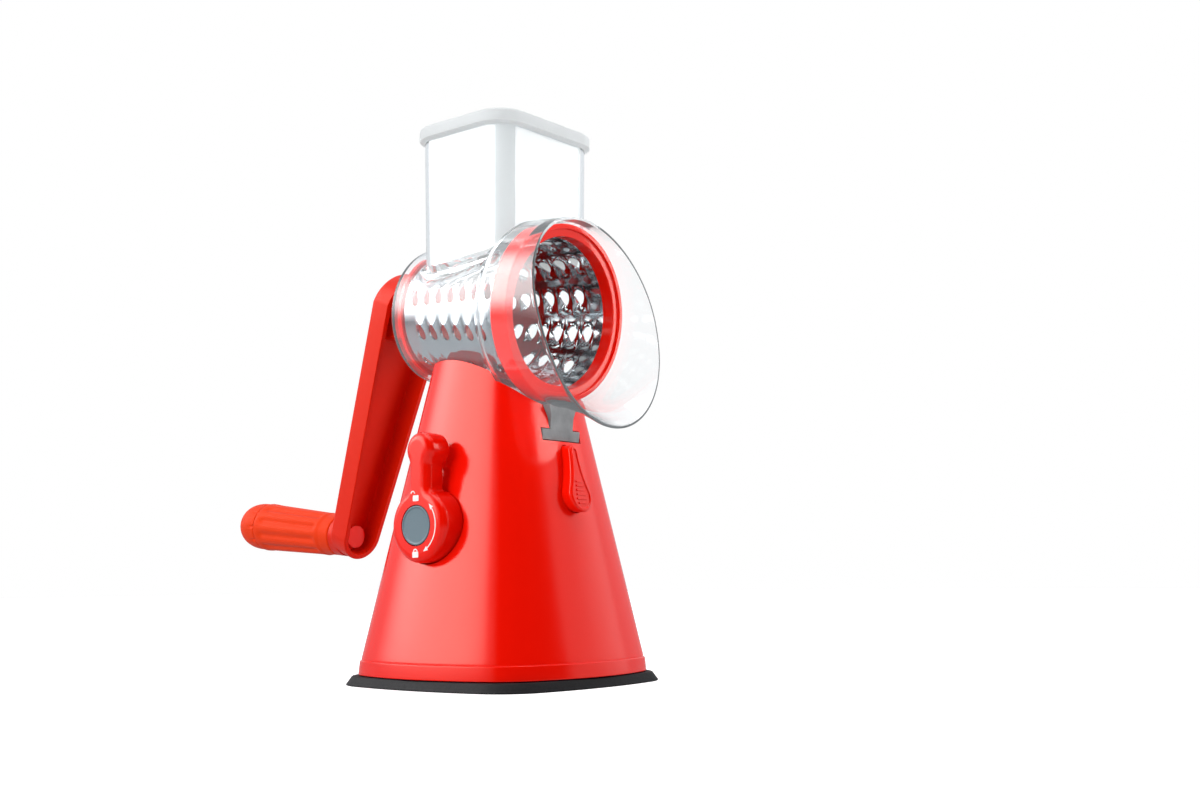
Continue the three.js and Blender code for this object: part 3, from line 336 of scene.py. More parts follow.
# %% [markdown]
# ## Finishes
# The red is a glossy moulded plastic. A perfect mirror gloss looks like glass, so a slow noise
# moves the roughness, a fine one gives the surface the faint ripple of a mould, and the tone
# drifts a little from place to place. The grip is the same family with a satin texture.
# %% Moulded plastics
def moulded(name, tone, deep_tone, roughness, ripple, grain=0.0, gloss=0.5, warmth=(1, 1, 1)):
    made, board = material(name)
    flow = board.noise(14.0, 3.0)
    fine = board.noise(900.0, 2.0)
    scuff = board.noise(260.0, 4.0, (1, 1, 0.35))
    surface(
        board,
        Base_Color=board.blend(flow, (*tone, 1), (*deep_tone, 1)),
        Roughness=roughness + 0.07 * flow + 0.05 * scuff + grain * fine,
        Normal=board.bump(board.noise(55.0, 1.0) * ripple + fine * grain, 0.0006),
        Specular_IOR_Level=gloss,
        Specular_Tint=(*warmth, 1),
    )
    return made


WARM = (1.0, 0.80, 0.70)
GLOSSY_RED = moulded("glossy red plastic", (0.90, 0.0065, 0.0008), (0.86, 0.0045, 0.0006), 0.10, 0.10,
                     warmth=WARM)
ARM_RED = moulded("crank red plastic", (0.76, 0.018, 0.002), (0.70, 0.013, 0.0015), 0.30, 0.12, 0.05,
                  gloss=0.26, warmth=WARM)
GRIP_RED = moulded("satin red grip", (0.84, 0.050, 0.006), (0.78, 0.040, 0.005), 0.40, 0.15, 0.12,
                   gloss=0.20, warmth=WARM)
CAP_GREY = moulded("blue-grey plastic", (0.125, 0.18, 0.21), (0.085, 0.13, 0.155), 0.26, 0.15, 0.08)
SOLE_BLACK = moulded("black rubber", (0.006, 0.006, 0.007), (0.004, 0.004, 0.005), 0.50, 0.25, 0.2,
                     gloss=0.3)
NYLON = moulded("natural nylon", (0.72, 0.69, 0.60), (0.66, 0.62, 0.53), 0.38, 0.2, 0.1)
PRINT_WHITE = moulded("white pad print", (0.90, 0.89, 0.87), (0.84, 0.82, 0.80), 0.45, 0.05, 0.2)


# %% [markdown]
# Milky plastic lets light in and scatters it, so its dark side is never dark. Subsurface
# scattering would do it truly, but is slow behind clear walls. Rough transmission, with a weak
# glow of its own colour, gives nearly the same look.
# %% Milky plastic
def milky():
    made, board = material("milky plastic")
    flow = board.noise(18.0, 2.0)
    tone = board.blend(flow, (0.68, 0.69, 0.69, 1), (0.64, 0.655, 0.66, 1))
    surface(
        board, Base_Color=tone, Roughness=0.42 + 0.08 * flow, Emission_Color=tone,
        Emission_Strength=0.19, Transmission_Weight=0.62, IOR=1.3,
        Normal=board.bump(board.noise(70.0, 1.0) * 0.2, 0.0005))
    return made


MILKY = milky()


# %% [markdown]
# ## Metals
# The drum is polished sheet, so nearly all of its look is what it mirrors. A very fine grain
# round the drum and slow waves left by the press break the mirror up. Screws and springs are
# duller, with a coarser grain.
# %% Steel and zinc
def metal(name, tone, dull_tone, roughness, wave, grain_stretch=(1, 1, 1)):
    made, board = material(name)
    grain = board.noise(1500.0, 2.0, grain_stretch)
    smear = board.noise(60.0, 3.0)
    surface(
        board,
        Base_Color=board.blend(smear, (*tone, 1), (*dull_tone, 1)),
        Metallic=1.0,
        Roughness=roughness + 0.05 * smear + 0.04 * grain,
        Normal=board.bump(board.noise(48.0, 1.0) * wave + grain * 0.01, 0.0008),
    )
    return made


POLISHED = metal("polished drum steel", (0.66, 0.68, 0.70), (0.56, 0.58, 0.60), 0.03, 0.35, (1, 0.05, 1))
ZINC = metal("zinc plate", (0.62, 0.63, 0.65), (0.50, 0.52, 0.54), 0.28, 0.3)
SPRING = metal("spring steel", (0.60, 0.60, 0.60), (0.42, 0.43, 0.45), 0.22, 0.2)


# %% [markdown]
# ## Clear plastic
# The housing is one thick clear moulding. Real refraction gives the doubled lines and the dark
# rims that tell the eye it is plastic. A very weak glow stands for the haze that light from all
# sides makes in it. Lamps would throw a heavy shadow through it, so for shadow rays only it is
# plain transparent.
# %% Clear housing plastic
def see_through():
    made, board = material("clear plastic")
    haze = board.noise(30.0, 2.0)
    shell = board.node("ShaderNodeBsdfPrincipled", {}, {
        "Base Color": (0.975, 0.988, 0.995, 1), "Roughness": 0.012 * haze,
        "IOR": 1.47, "Transmission Weight": 1.0,
        "Emission Color": (0.90, 0.96, 1.0, 1), "Emission Strength": 0.022,
        "Normal": board.bump(board.noise(40.0, 1.0) * 0.12, 0.0006)})
    lamp = board.node("ShaderNodeLightPath", output="Is Shadow Ray")
    open_way = board.node("ShaderNodeBsdfTransparent")
    both = board.node("ShaderNodeMixShader", {}, {0: lamp, 1: shell, 2: open_way})
    board.node("ShaderNodeOutputMaterial", {}, {"Surface": both})
    return made


CLEAR = see_through()


# %% [markdown]
# The rail is the same plastic, but thick and rubbed by sliding, so it scatters light like
# frosted glass and shows grey.
# %% Frosted rail plastic
def frosted():
    made, board = material("frosted rail plastic")
    rub = board.noise(120.0, 3.0, (1, 0.2, 1))
    surface(
        board, Base_Color=board.blend(rub, (0.62, 0.64, 0.65, 1), (0.10, 0.11, 0.12, 1)),
        Roughness=0.22 + 0.25 * rub, IOR=1.47, Transmission_Weight=0.55,
        Normal=board.bump(board.noise(300.0, 2.0) * 0.25, 0.0005))
    return made


FROSTED = frosted()
print("materials:", len(bpy.data.materials))

# %% [markdown]
# ## The plan of the stand
# Seen from above the stand is a square with bowed sides and round corners. One distance says
# how far the edge is in a direction: the corner arc near a diagonal, the side arc elsewhere.
# Each level of the stand uses the same plan at its own size, so the corners stay in proportion.
# %% A bowed square, as a distance in each direction
CORNER_SHARE = 0.425
BOW_SHARE = 1.89
STAND_SIDES = 192


def circle_reach(facing, centre, radius):
    along = centre * (facing.x + facing.y)
    return along + math.sqrt(radius**2 - 2 * centre**2 + along**2)


def bowed_ring(half, z, corner=None, bow=None, sides=STAND_SIDES):
    corner = half * CORNER_SHARE if corner is None else corner
    bow = half * BOW_SHARE if bow is None else bow
    rise = bow - half
    centre = (math.sqrt(2 * (bow - corner) ** 2 - rise**2) - rise) / 2
    lean = math.pi / 2 - math.atan2(centre + rise, centre)
    joint = math.atan2(bow * math.sin(lean), bow * math.cos(lean) - rise)
    ring = []
    for step in range(sides):
        angle = 2 * math.pi * step / sides
        folded = abs((angle + math.pi / 4) % (math.pi / 2) - math.pi / 4)
        facing = Vector((math.cos(folded), math.sin(folded)))
        if folded < joint:
            reach = -rise * facing.x + math.sqrt(bow**2 - (rise * facing.y) ** 2)
        else:
            reach = circle_reach(facing, centre, corner)
        ring.append(Vector((reach * math.cos(angle), reach * math.sin(angle), z)))
    return ring


# %% Sizes of the stand, from its node
base_low, base_high = measured("base_body")
SKIRT_HALF = base_high.x
SKIRT_BOTTOM = base_low.z
SKIRT_TOP = SKIRT_BOTTOM + 6.9
STAND_FOOT = SKIRT_HALF - 1.1
STAND_TAPER = 0.212
STAND_TOP = axis_height - 23
STAND_WALL = 2.6


def stand_half(z):
    return STAND_FOOT - STAND_TAPER * (z - SKIRT_TOP)


def stand_form(inset, bottom, top, levels=30):
    heights = [bottom + (top - bottom) * step / levels for step in range(levels + 1)]
    return skin([bowed_ring(stand_half(z) - inset, z) for z in heights])


# %% [markdown]
# ## The rubber sole
# A soft pad under the skirt, whose chamfered edge shows as a thin black line. It is a skin of
# seven levels: a rounded foot, the chamfer and a soft top edge.
# %% Sole
_, sole_high = measured("suction_pad")
SOLE_HALF = sole_high.x
SOLE_HEIGHT = SKIRT_BOTTOM - 0.3
SOLE_BOW = 3.2 * SOLE_HALF
ABOUT_Z = Matrix.Rotation(math.radians(90), 4, "X")


def make_sole():
    levels = [(SOLE_HALF - 0.5, 0), (SOLE_HALF - 0.1, 0.15), (SOLE_HALF, 0.5), (SOLE_HALF - 0.25, 0.9),
              (SOLE_HALF - 2.2, SOLE_HEIGHT - 0.45), (SOLE_HALF - 2.6, SOLE_HEIGHT - 0.1),
              (SOLE_HALF - 3.0, SOLE_HEIGHT)]
    slab = solid(skin([bowed_ring(half, z, 24, SOLE_BOW) for half, z in levels]))
    bead_half = SKIRT_HALF - STAND_WALL - 2
    bead = solid(skin([bowed_ring(bead_half, z) for z in (SOLE_HEIGHT - 1, SOLE_HEIGHT + 3)]))
    inside = solid(skin([bowed_ring(bead_half - 3, z) for z in (SOLE_HEIGHT, SOLE_HEIGHT + 4)]))
    well = solid(turned([(0, -1), (34, -1), (34, 5), (0, 5)]), Matrix.Translation((0, 0, 3.5)) @ ABOUT_Z)
    return cut(join(slab, bead), inside, well)


finish(make_sole(), "rubber_sole", "stand", "sole_rubber", SOLE_BLACK, "suction_pad")

# %% [markdown]
# ## The housing's barrel and guard
# The barrel follows the drum's cone, steps out round the drum's ring and ends in a guard whose
# slanting rim reaches furthest at the bottom, so that food falls clear of the stand. It is a
# turned form with the guard drawn out afterwards: each point ahead of the ring is carried
# forward and, at the bottom, outward. The same form, a little larger, cuts the saddle.
# %% Sizes of the barrel
BARREL_REAR = 44.8
REAR_R = 34.8
BARREL_TAPER = 0.1166
STEP_AT = -22.0
STEP_LENGTH = 4.0
MOUTH_R = 46.0
GUARD_START = -42.3
GUARD_TOP = 5.2
GUARD_BOTTOM = 33.9
GUARD_SPREAD = 9.3
HOUSING_WALL = 2.0
BEARING_R = 12.8
GUARD_STEPS = 14
RIM_THINNED = 0.7


def barrel_r(y):
    return REAR_R + BARREL_TAPER * (BARREL_REAR - y)


# %% Barrel profile and the drawing of the guard
def barrel_profile(grow, rear, rim_round=0.0, past=0.0):
    """Up the barrel from the rim. A unit ahead of the guard's start is the whole guard."""
    big = MOUTH_R + grow
    thinned = RIM_THINNED if grow < 0 else 0
    front = [(0, GUARD_START - 1 - past)]
    if rim_round:
        front += [(big - 0.75 * rim_round, GUARD_START - 1),
                  (big - 0.25 * rim_round, GUARD_START - 0.992)]
    else:
        front += [(big + thinned, GUARD_START - 1 - past)]
    shares = [1 - step / GUARD_STEPS for step in range(GUARD_STEPS + 1)]
    guard = [(big + thinned * share, GUARD_START - 0.975 * share) for share in shares]
    step_front = STEP_AT - STEP_LENGTH
    rest = rounded([
        (big, GUARD_START, 0), (big, step_front, 5), (barrel_r(STEP_AT) + grow, STEP_AT, 5),
        (barrel_r(rear) + grow, rear, 1.2 if rim_round else 0), (0, rear, 0)], 4, closed=False)
    return front + guard + [tuple(point) for point in rest[1:]]


def drawn_guard(bm):
    for vert in bm.verts:
        ahead = GUARD_START - vert.co.y
        if ahead <= 0:
            continue
        radius = math.hypot(vert.co.x, vert.co.z)
        down = -vert.co.z / radius if radius > 0 else 0
        reach = (GUARD_TOP + GUARD_BOTTOM) / 2 + (GUARD_BOTTOM - GUARD_TOP) / 2 * down
        lip = GUARD_SPREAD * max(0, down) ** 2 * ahead**1.6
        share = (radius + lip) / radius if radius > 0 else 1
        vert.co = (vert.co.x * share, GUARD_START - ahead * reach, vert.co.z * share)
    return bm


def barrel_form(grow, rear, sides=160, **rim):
    return solid(drawn_guard(turned(barrel_profile(grow, rear, **rim), sides)), DRUM_LINE)


# %% The saddle's cutter: the barrel and the way in for it
def saddle_form(grow):
    rear = BARREL_REAR + 0.3
    big = MOUTH_R + grow
    step_front = STEP_AT - STEP_LENGTH
    straight = [(0, GUARD_START - GUARD_BOTTOM), (big, GUARD_START - GUARD_BOTTOM), (big, step_front),
                (barrel_r(STEP_AT) + grow, STEP_AT), (barrel_r(rear) + grow, rear), (0, rear)]
    return join(solid(turned(straight, 160), DRUM_LINE), barrel_form(grow, rear, past=0.3))


# %% [markdown]
# ## The rail
# A T-shaped rail under the barrel slides into a slot of the stand. Its grey-looking end shows
# at the top of the front face. It is a prism across the drum's axis, and the slot is the same
# outline with running room.
# %% Rail
RAIL_BOTTOM = -61.9
RAIL_FOOT_THICK = 5.1
RAIL_FOOT_HALF = 13.6
RAIL_WEB_HALF = 8.2
RAIL_FLARE = 1.6
RAIL_LENGTH = 44
RUNNING = 0.4
RAIL_FRONT = 0.7 - stand_half(axis_height + RAIL_BOTTOM)
RAIL_END = RAIL_FRONT + RAIL_LENGTH
RAIL_NOSE = 6.2


def rail_form(grow, start, end, corner=0.0):
    foot_top = RAIL_BOTTOM + RAIL_FOOT_THICK + grow
    top = RAIL_BOTTOM + 26
    foot, web = RAIL_FOOT_HALF + grow, RAIL_WEB_HALF + grow
    half = [(foot, RAIL_BOTTOM - grow, corner), (foot, foot_top, corner), (web, foot_top, corner),
            (web, -MOUTH_R - 3 * RAIL_FLARE, 0), (web + RAIL_FLARE, -MOUTH_R, 0), (web + RAIL_FLARE, top, 0)]
    outline = half + [(-x, z, radius) for x, z, radius in reversed(half)]
    return solid(prism(rounded(outline, 3), start, end), DRUM_LINE)


# %% [markdown]
# ## The stand
# One red casing, moulded hollow. It could be a surface with thickness, but its saddle, slot,
# lever seat and button hole all go through a thick local boss, so it is made as the mould
# makes it: the outside, minus a hollow that leaves walls round each of those. The saddle is cut
# last: its fine slanting edges are the ones that could trip up a later cut.
# %% Heights on the stand
_, bolt_high = measured("latch_bolt")
cap_low, cap_high = measured("lever_cap")
knob_low, knob_high = measured("lever_knob")
LEVER_HEIGHT = (cap_low.z + cap_high.z) / 2
LEVER_LINE = Matrix.Translation((0, 0, LEVER_HEIGHT)) @ Matrix.Rotation(math.radians(-90), 4, "Z")
LEVER_FACE = knob_low.x
KNOB_THICK = knob_high.x - knob_low.x
KNOB_R = LEVER_HEIGHT - knob_low.z
BLOCK_BOTTOM = axis_height + RAIL_BOTTOM * math.cos(axis_tilt) + RAIL_FRONT * math.sin(axis_tilt) - 3.6
BUTTON_LOW_R = 7.8
BUTTON_HIGH_R = 3.2
BUTTON_JOIN = 24
BUTTON_PULL = 6
BUTTON_HIGH = BLOCK_BOTTOM - 2.6
BUTTON_LOW = BUTTON_HIGH - 21.2
FACE_AT_TABLE = -STAND_FOOT - STAND_TAPER * SKIRT_TOP
LEANED = Matrix(((1, 0, 0, 0), (0, 1, STAND_TAPER, 0), (0, 0, 1, 0), (0, 0, 0, 1)))
print("lever height", round(LEVER_HEIGHT, 2))
print("button from", round(BUTTON_LOW, 2), "to", round(BUTTON_HIGH, 2))


# %% The drop-shaped outline of the button
def bezier(start, pull_out, pull_in, end, steps):
    points = [Vector(point) for point in (start, pull_out, pull_in, end)]
    shares = [step / steps for step in range(steps + 1)]
    return [points[0] * (1 - t) ** 3 + points[1] * 3 * t * (1 - t) ** 2
            + points[2] * 3 * t ** 2 * (1 - t) + points[3] * t ** 3 for t in shares]


def drop_ring(grow, y, steps=20):
    high, low = BUTTON_HIGH_R + grow, BUTTON_LOW_R + grow
    turn = math.radians(BUTTON_JOIN)
    joint = Vector((low * math.cos(turn), BUTTON_LOW + low * math.sin(turn)))
    pull = joint + BUTTON_PULL * Vector((-math.sin(turn), math.cos(turn)))
    side = bezier((high, BUTTON_HIGH), (high, BUTTON_HIGH - BUTTON_PULL), pull, joint, steps)
    top = arc((0, BUTTON_HIGH), high, 0, 180, steps)
    bottom = arc((0, BUTTON_LOW), low, 180 - BUTTON_JOIN, 360 + BUTTON_JOIN, 2 * steps)
    left = [Vector((-point.x, point.y)) for point in side[1:-1]]
    outline = top + left + bottom + side[-2:0:-1]
    return [Vector((point.x, y, point.y)) for point in outline]


# %% Stand casing
def bolt_room(low, high):
    """The way through for the latch bolt."""
    return solid(block(-4.4, 4.4, bolt_high.y - 6.4, bolt_high.y + 0.4, low, high))


def make_stand():
    skirt = [(SKIRT_HALF - 0.5, SKIRT_BOTTOM), (SKIRT_HALF - 0.1, SKIRT_BOTTOM + 0.2),
             (SKIRT_HALF, SKIRT_BOTTOM + 0.6), (SKIRT_HALF - 0.5, SKIRT_TOP - 0.75),
             (SKIRT_HALF - 0.62, SKIRT_TOP - 0.3), (SKIRT_HALF - 0.95, SKIRT_TOP - 0.04),
             (SKIRT_HALF - 1.25, SKIRT_TOP + 0.03),
             (stand_half(SKIRT_TOP + 0.5) - 0.05, SKIRT_TOP + 0.35)]
    levels = 48
    start = SKIRT_TOP + 0.9
    body = [start + (STAND_TOP - start) * step / levels for step in range(levels + 1)]
    rings = [bowed_ring(half, z) for half, z in skirt] + [bowed_ring(stand_half(z), z) for z in body]
    outside = solid(skin(rings))
    cavity_top = axis_height - barrel_r(0) + 4
    cavity = solid(stand_form(STAND_WALL, SKIRT_BOTTOM - 1, cavity_top, 4))
    rail_half = RAIL_FOOT_HALF + RUNNING + 3.2
    seat = LEVER_FACE + KNOB_THICK + RUNNING
    cut(cavity,
        saddle_form(0.5 + STAND_WALL),
        solid(block(-rail_half, rail_half, -70, RAIL_END + 3.6, BLOCK_BOTTOM, cavity_top + 1)),
        solid(turned([(0, -70), (KNOB_R + 3, -70), (KNOB_R + 3, seat + STAND_WALL),
                      (0, seat + STAND_WALL)]), LEVER_LINE))
    knob_room = KNOB_R + RUNNING
    pocket = rounded([
        (0, -70, 0), (knob_room + 0.9, -70, 0), (knob_room, -stand_half(LEVER_HEIGHT) + 2, 0),
        (knob_room, seat, 0.8), (6.4, seat, 0), (6.4, -20, 0), (0, -20, 0)], 4, closed=False)
    button_hole = solid(skin([drop_ring(RUNNING, FACE_AT_TABLE + y) for y in (-3, 8)]), LEANED)
    cut(outside, cavity, solid(turned(pocket), LEVER_LINE), button_hole)
    slot = rail_form(RUNNING, RAIL_FRONT - 20, RAIL_END + RUNNING)
    return cut(outside, bolt_room(BLOCK_BOTTOM - 1, bolt_high.z), slot, saddle_form(0.5))


finish(softened(make_stand(), 0.35),
       "stand_casing", "stand", "red_plastic", GLOSSY_RED, "base_body")

# %% [markdown]
# ## The clear housing
# Barrel, hopper, plinth and rail are one clear moulding. Its outsides are joined first and its
# insides cut out of the whole, so no wall is left inside another: in clear plastic a hidden
# wall would show.
# %% Sizes of the hopper
_, housing_high = measured("housing")
HOPPER_TOP = housing_high.z
HOPPER_HALF_X = 35
HOPPER_HALF_Y = 30
HOPPER_CENTRE_Y = -1.6
HOPPER_CORNER = 13
HOPPER_DRAFT = 0.011
PLINTH_TOP = axis_height + 21.8
PLINTH_HEIGHT = 16
PLINTH_STEP = 1.8


# %% Rings with round corners for the hopper, the plinth and the pusher
def box_ring(half_x, half_y, corner, z, steps=10):
    outline = rounded_box(half_x, -half_y, half_y, corner, steps)
    return [Vector((point.x, point.y + HOPPER_CENTRE_Y, z)) for point in outline]


def hopper_ring(inset, z):
    draft = HOPPER_DRAFT * (HOPPER_TOP - z)
    return box_ring(HOPPER_HALF_X - inset - draft, HOPPER_HALF_Y - inset - draft,
                    max(1.5, HOPPER_CORNER - inset), z)


def hopper_form(inset, bottom, top, levels=12, rim=0.0):
    heights = [bottom + (top - rim - bottom) * step / levels for step in range(levels + 1)]
    rings = [hopper_ring(inset, z) for z in heights]
    if rim:
        rings += [hopper_ring(inset + rim * 0.3, top - rim * 0.3), hopper_ring(inset + rim, top)]
    return solid(skin(rings))


# %% Housing
def make_housing():
    plinth_x = HOPPER_HALF_X + PLINTH_STEP
    plinth_y = HOPPER_HALF_Y + PLINTH_STEP
    low = PLINTH_TOP - PLINTH_HEIGHT
    plinth_levels = [(0, low), (0, PLINTH_TOP - 1.4), (-0.4, PLINTH_TOP - 0.4), (-1.3, PLINTH_TOP)]
    plinth = solid(skin([
        box_ring(plinth_x + grow, plinth_y + grow, HOPPER_CORNER + grow, z) for grow, z in plinth_levels]))
    barrel = barrel_form(0, BARREL_REAR, rim_round=0.8)
    bore = barrel_form(-HOUSING_WALL, BARREL_REAR - HOUSING_WALL, past=0.3)
    bearing = solid(turned([(0, BARREL_REAR - 5), (BEARING_R, BARREL_REAR - 5),
                            (BEARING_R, BARREL_REAR + 1), (0, BARREL_REAR + 1)], 96), DRUM_LINE)
    housing = join(barrel, hopper_form(0, axis_height, HOPPER_TOP, rim=0.7), plinth)
    return cut(housing, bore, hopper_form(HOUSING_WALL, axis_height, HOPPER_TOP + 1), bearing)


def make_rail():
    notch = bolt_room(bolt_high.z - 5.4, bolt_high.z + 0.4)
    rail = rail_form(0, RAIL_FRONT - RAIL_NOSE, RAIL_END, 0.4)
    return cut(rail, barrel_form(0.02, BARREL_REAR), notch)


finish(make_housing(), "clear_housing", "stand", "clear_plastic", CLEAR, "housing", sharp=40)
finish(softened(make_rail(), 0.25), "rail", "stand", "clear_plastic", FROSTED, "housing")

# %% [markdown]
# ## The pusher
# A milky box that slides in the hopper. Its foot is arched to follow the drum, and its soft cap
# overhangs the hopper's rim. The cap's crown is a skin whose last rings draw in and rise a little,
# which gives the soft, almost flat top that a bevel alone would not.
# %% Pusher box
PUSHER_INSET = HOUSING_WALL + 0.7
PUSHER_WALL = 2.0
CONE_FRONT = -34.0
CONE_REAR = 39.4
CONE_FRONT_R = 38.5
CONE_REAR_R = 30.4
TOOTH_HEIGHT = 1.9
TOOTH_ROOM = 3.0


def cone_r(y):
    return CONE_REAR_R + (CONE_FRONT_R - CONE_REAR_R) * (CONE_REAR - y) / (CONE_REAR - CONE_FRONT)


def drum_sweep(grow, reach=60):
    profile = [(0, -reach), (cone_r(-reach) + grow, -reach), (cone_r(reach) + grow, reach), (0, reach)]
    return solid(turned(profile, 160), DRUM_LINE)


def make_pusher():
    top = HOPPER_TOP + 0.3
    arch = TOOTH_HEIGHT + TOOTH_ROOM
    hollow = hopper_form(PUSHER_INSET + PUSHER_WALL, axis_height, top + 1)
    cut(hollow, drum_sweep(arch + PUSHER_WALL))
    return cut(hopper_form(PUSHER_INSET, axis_height, top), drum_sweep(arch), hollow)


finish(softened(make_pusher(), 0.4), "pusher_box", "pusher", "milky_plastic", MILKY, "pusher_body")

# %% Pusher cap
_, lid_high = measured("pusher_cap")


def make_pusher_cap():
    under = HOPPER_TOP + 0.6
    top = lid_high.z
    half_x, half_y = lid_high.x, HOPPER_HALF_Y + lid_high.x - HOPPER_HALF_X
    corner = HOPPER_CORNER + half_x - HOPPER_HALF_X
    spigot = PUSHER_INSET + PUSHER_WALL + 0.3
    levels = [(-0.7, under), (-0.15, under + 0.2), (0, under + 0.8), (0, top - 2.6), (-0.2, top - 1.7),
              (-0.8, top - 1.0), (-1.9, top - 0.5), (-3.6, top - 0.22), (-7, top - 0.08), (-9, top)]
    rings = [hopper_ring(spigot + 0.5, under - 4), hopper_ring(spigot, under - 3.5),
             hopper_ring(spigot, under)]
    rings += [box_ring(half_x + grow, half_y + grow, max(1.5, corner + grow), z) for grow, z in levels]
    return solid(skin(rings))


finish(make_pusher_cap(), "pusher_lid", "pusher", "milky_plastic", MILKY, "pusher_cap", sharp=50)

# %% [markdown]
# ## The drum
# Polished sheet rolled into a cone and punched from inside: each punch leaves a drop-shaped
# hole with a scoop that rises to a cutting lip. A Boolean would only make holes. So the sheet
# is laid out in cells, one for each hole: a ring of points on the cell's edge is extruded
# inward to the hole's edge, and the points near the lip are lifted. Every other row is shifted
# by half a pitch. Neighbouring cells share their edge points, so the sheet has no gaps.
# %% Sizes of the punched pattern
HOLE_ROWS = 12
HOLES_PER_ROW = 7
HOLE_PITCH = 9.2
HOLE_HALF_WIDE = 2.9
HOLE_HALF_TALL = 3.6
FIRST_ROW_ANGLE = math.radians(172.3)
STEPS_ALONG = 8
STEPS_ROUND = 12
SHEET = 0.8
SCOOP_LIFT = 1.1
CELL_RINGS = (0, 0.25, 0.5, 0.7, 0.84, 0.93, 1)
ROW_TURN = 2 * math.pi / HOLE_ROWS
CONE_MIDDLE = (CONE_FRONT + CONE_REAR) / 2


def on_cone(y, angle, lift=0.0):
    radius = cone_r(y) + lift
    return Vector((radius * math.cos(angle), y, radius * math.sin(angle)))


# %% One cell with its hole and scoop
def cell_edge(step):
    """The place on a cell's edge, each way from -1 to 1, for a step round it."""
    if step < STEPS_ROUND:
        return 1.0, -1 + 2 * step / STEPS_ROUND
    if step < STEPS_ROUND + STEPS_ALONG:
        return 1 - 2 * (step - STEPS_ROUND) / STEPS_ALONG, 1.0
    if step < 2 * STEPS_ROUND + STEPS_ALONG:
        return -1.0, 1 - 2 * (step - STEPS_ROUND - STEPS_ALONG) / STEPS_ROUND
    return -1 + 2 * (step - 2 * STEPS_ROUND - STEPS_ALONG) / STEPS_ALONG, -1.0


def cell_point(y, angle, step, share):
    along, across = cell_edge(step)
    facing = math.atan2(along, across)
    half_round = ROW_TURN / 2 * cone_r(y)
    tail = 0.5 - 0.5 * math.cos(facing)
    tall = HOLE_HALF_TALL * (1 + 0.28 * tail**3)
    hole = Vector((HOLE_HALF_WIDE * math.sin(facing) * (1 - 0.25 * tail**3), tall * math.cos(facing)))
    edge = Vector((along * HOLE_PITCH / 2, across * half_round))
    point = edge.lerp(hole, share)
    lift = SCOOP_LIFT * tail**1.2 * share**2 - 0.3 * (1 - tail) * share**4
    return on_cone(y + point.x, angle + point.y / cone_r(y), lift)


def add_cell(bm, y, angle):
    count = 2 * (STEPS_ALONG + STEPS_ROUND)
    rings = [[cell_point(y, angle, step, share) for step in range(count)] for share in CELL_RINGS]
    cell = skin(rings, ends=False)
    mesh = bpy.data.meshes.new("cell")
    cell.to_mesh(mesh)
    cell.free()
    bm.from_mesh(mesh)
    bpy.data.meshes.remove(mesh)


# %% The plain strips at the ends of the short rows
def add_strip(bm, y, angle):
    made = bmesh.ops.create_grid(bm, x_segments=STEPS_ALONG // 2, y_segments=STEPS_ROUND, size=1)
    for vert in made["verts"]:
        along, across = vert.co.x, vert.co.y
        vert.co = on_cone(y + along * HOLE_PITCH / 4, angle + across * ROW_TURN / 2)


# %% The whole sheet
def make_cone():
    bm = bmesh.new()
    for row in range(HOLE_ROWS):
        count = HOLES_PER_ROW - row % 2
        angle = FIRST_ROW_ANGLE + row * ROW_TURN
        for number in range(count):
            add_cell(bm, CONE_MIDDLE + (number - (count - 1) / 2) * HOLE_PITCH, angle)
        if count < HOLES_PER_ROW:
            for side in (-1, 1):
                add_strip(bm, CONE_MIDDLE + side * (HOLES_PER_ROW / 2 - 0.25) * HOLE_PITCH, angle)
    bmesh.ops.remove_doubles(bm, verts=bm.verts, dist=0.02)
    reach = HOLES_PER_ROW * HOLE_PITCH / 2
    for side, end in ((-1, CONE_FRONT), (1, CONE_REAR)):
        start = CONE_MIDDLE + side * reach
        rim = [e for e in bm.edges if e.is_boundary and all(abs(v.co.y - start) < 0.05 for v in e.verts)]
        for share in (0.5, 1):
            fresh = bmesh.ops.extrude_edge_only(bm, edges=rim)["geom"]
            verts = {item for item in fresh if isinstance(item, bmesh.types.BMVert)}
            for vert in verts:
                vert.co = on_cone(start + (end - start) * share, math.atan2(vert.co.z, vert.co.x))
            rim = [item for item in fresh if isinstance(item, bmesh.types.BMEdge)
                   and verts.issuperset(item.verts)]
    print("punched sheet open edges:", sum(e.is_boundary for e in bm.edges))
    return solid(bm, DRUM_LINE)


cone = make_cone()
sheet = cone.modifiers.new("sheet", "SOLIDIFY")
sheet.thickness = SHEET * MM
sheet.offset = -1
finish(settled(cone), "punched_drum", "drum", "drum_steel", POLISHED, "drum_cone", sharp=50)

# %% [markdown]
# ## The drum's ring and hub
# Red mouldings at both ends. The ring is a closed profile spun round the axis. The hub is a
# plate with a collar and a square shaft, whose four windows let a stuck shaft be seen and
# pushed out.
# %% Ring
ring_profile = rounded([
    (36.9, -41.1, 0.5), (40.6, -41.1, 0.4), (40.6, -42.3, 0.3), (43.1, -42.3, 0.7),
    (43.1, -32.5, 0.7), (39.1, -32.5, 0.3), (39.1, -34.3, 0.2), (36.9, -34.3, 0.3)], 4)
finish(solid(turned(ring_profile, 160, closed=True), DRUM_LINE),
       "mouth_ring", "drum", "red_plastic", GLOSSY_RED, "drum_ring", sharp=50)

# %% Hub
PLATE_FRONT = CONE_REAR + 0.3
PLATE_REAR = PLATE_FRONT + 2.5
COLLAR_R = 12.4
COLLAR_END = PLATE_REAR + 8.2
SHAFT_HALF = 18.3 / 2
SHAFT_TIP = COLLAR_END + 17.3
SHAFT_WALL = 3.0
WINDOW_SIDE = 5.5


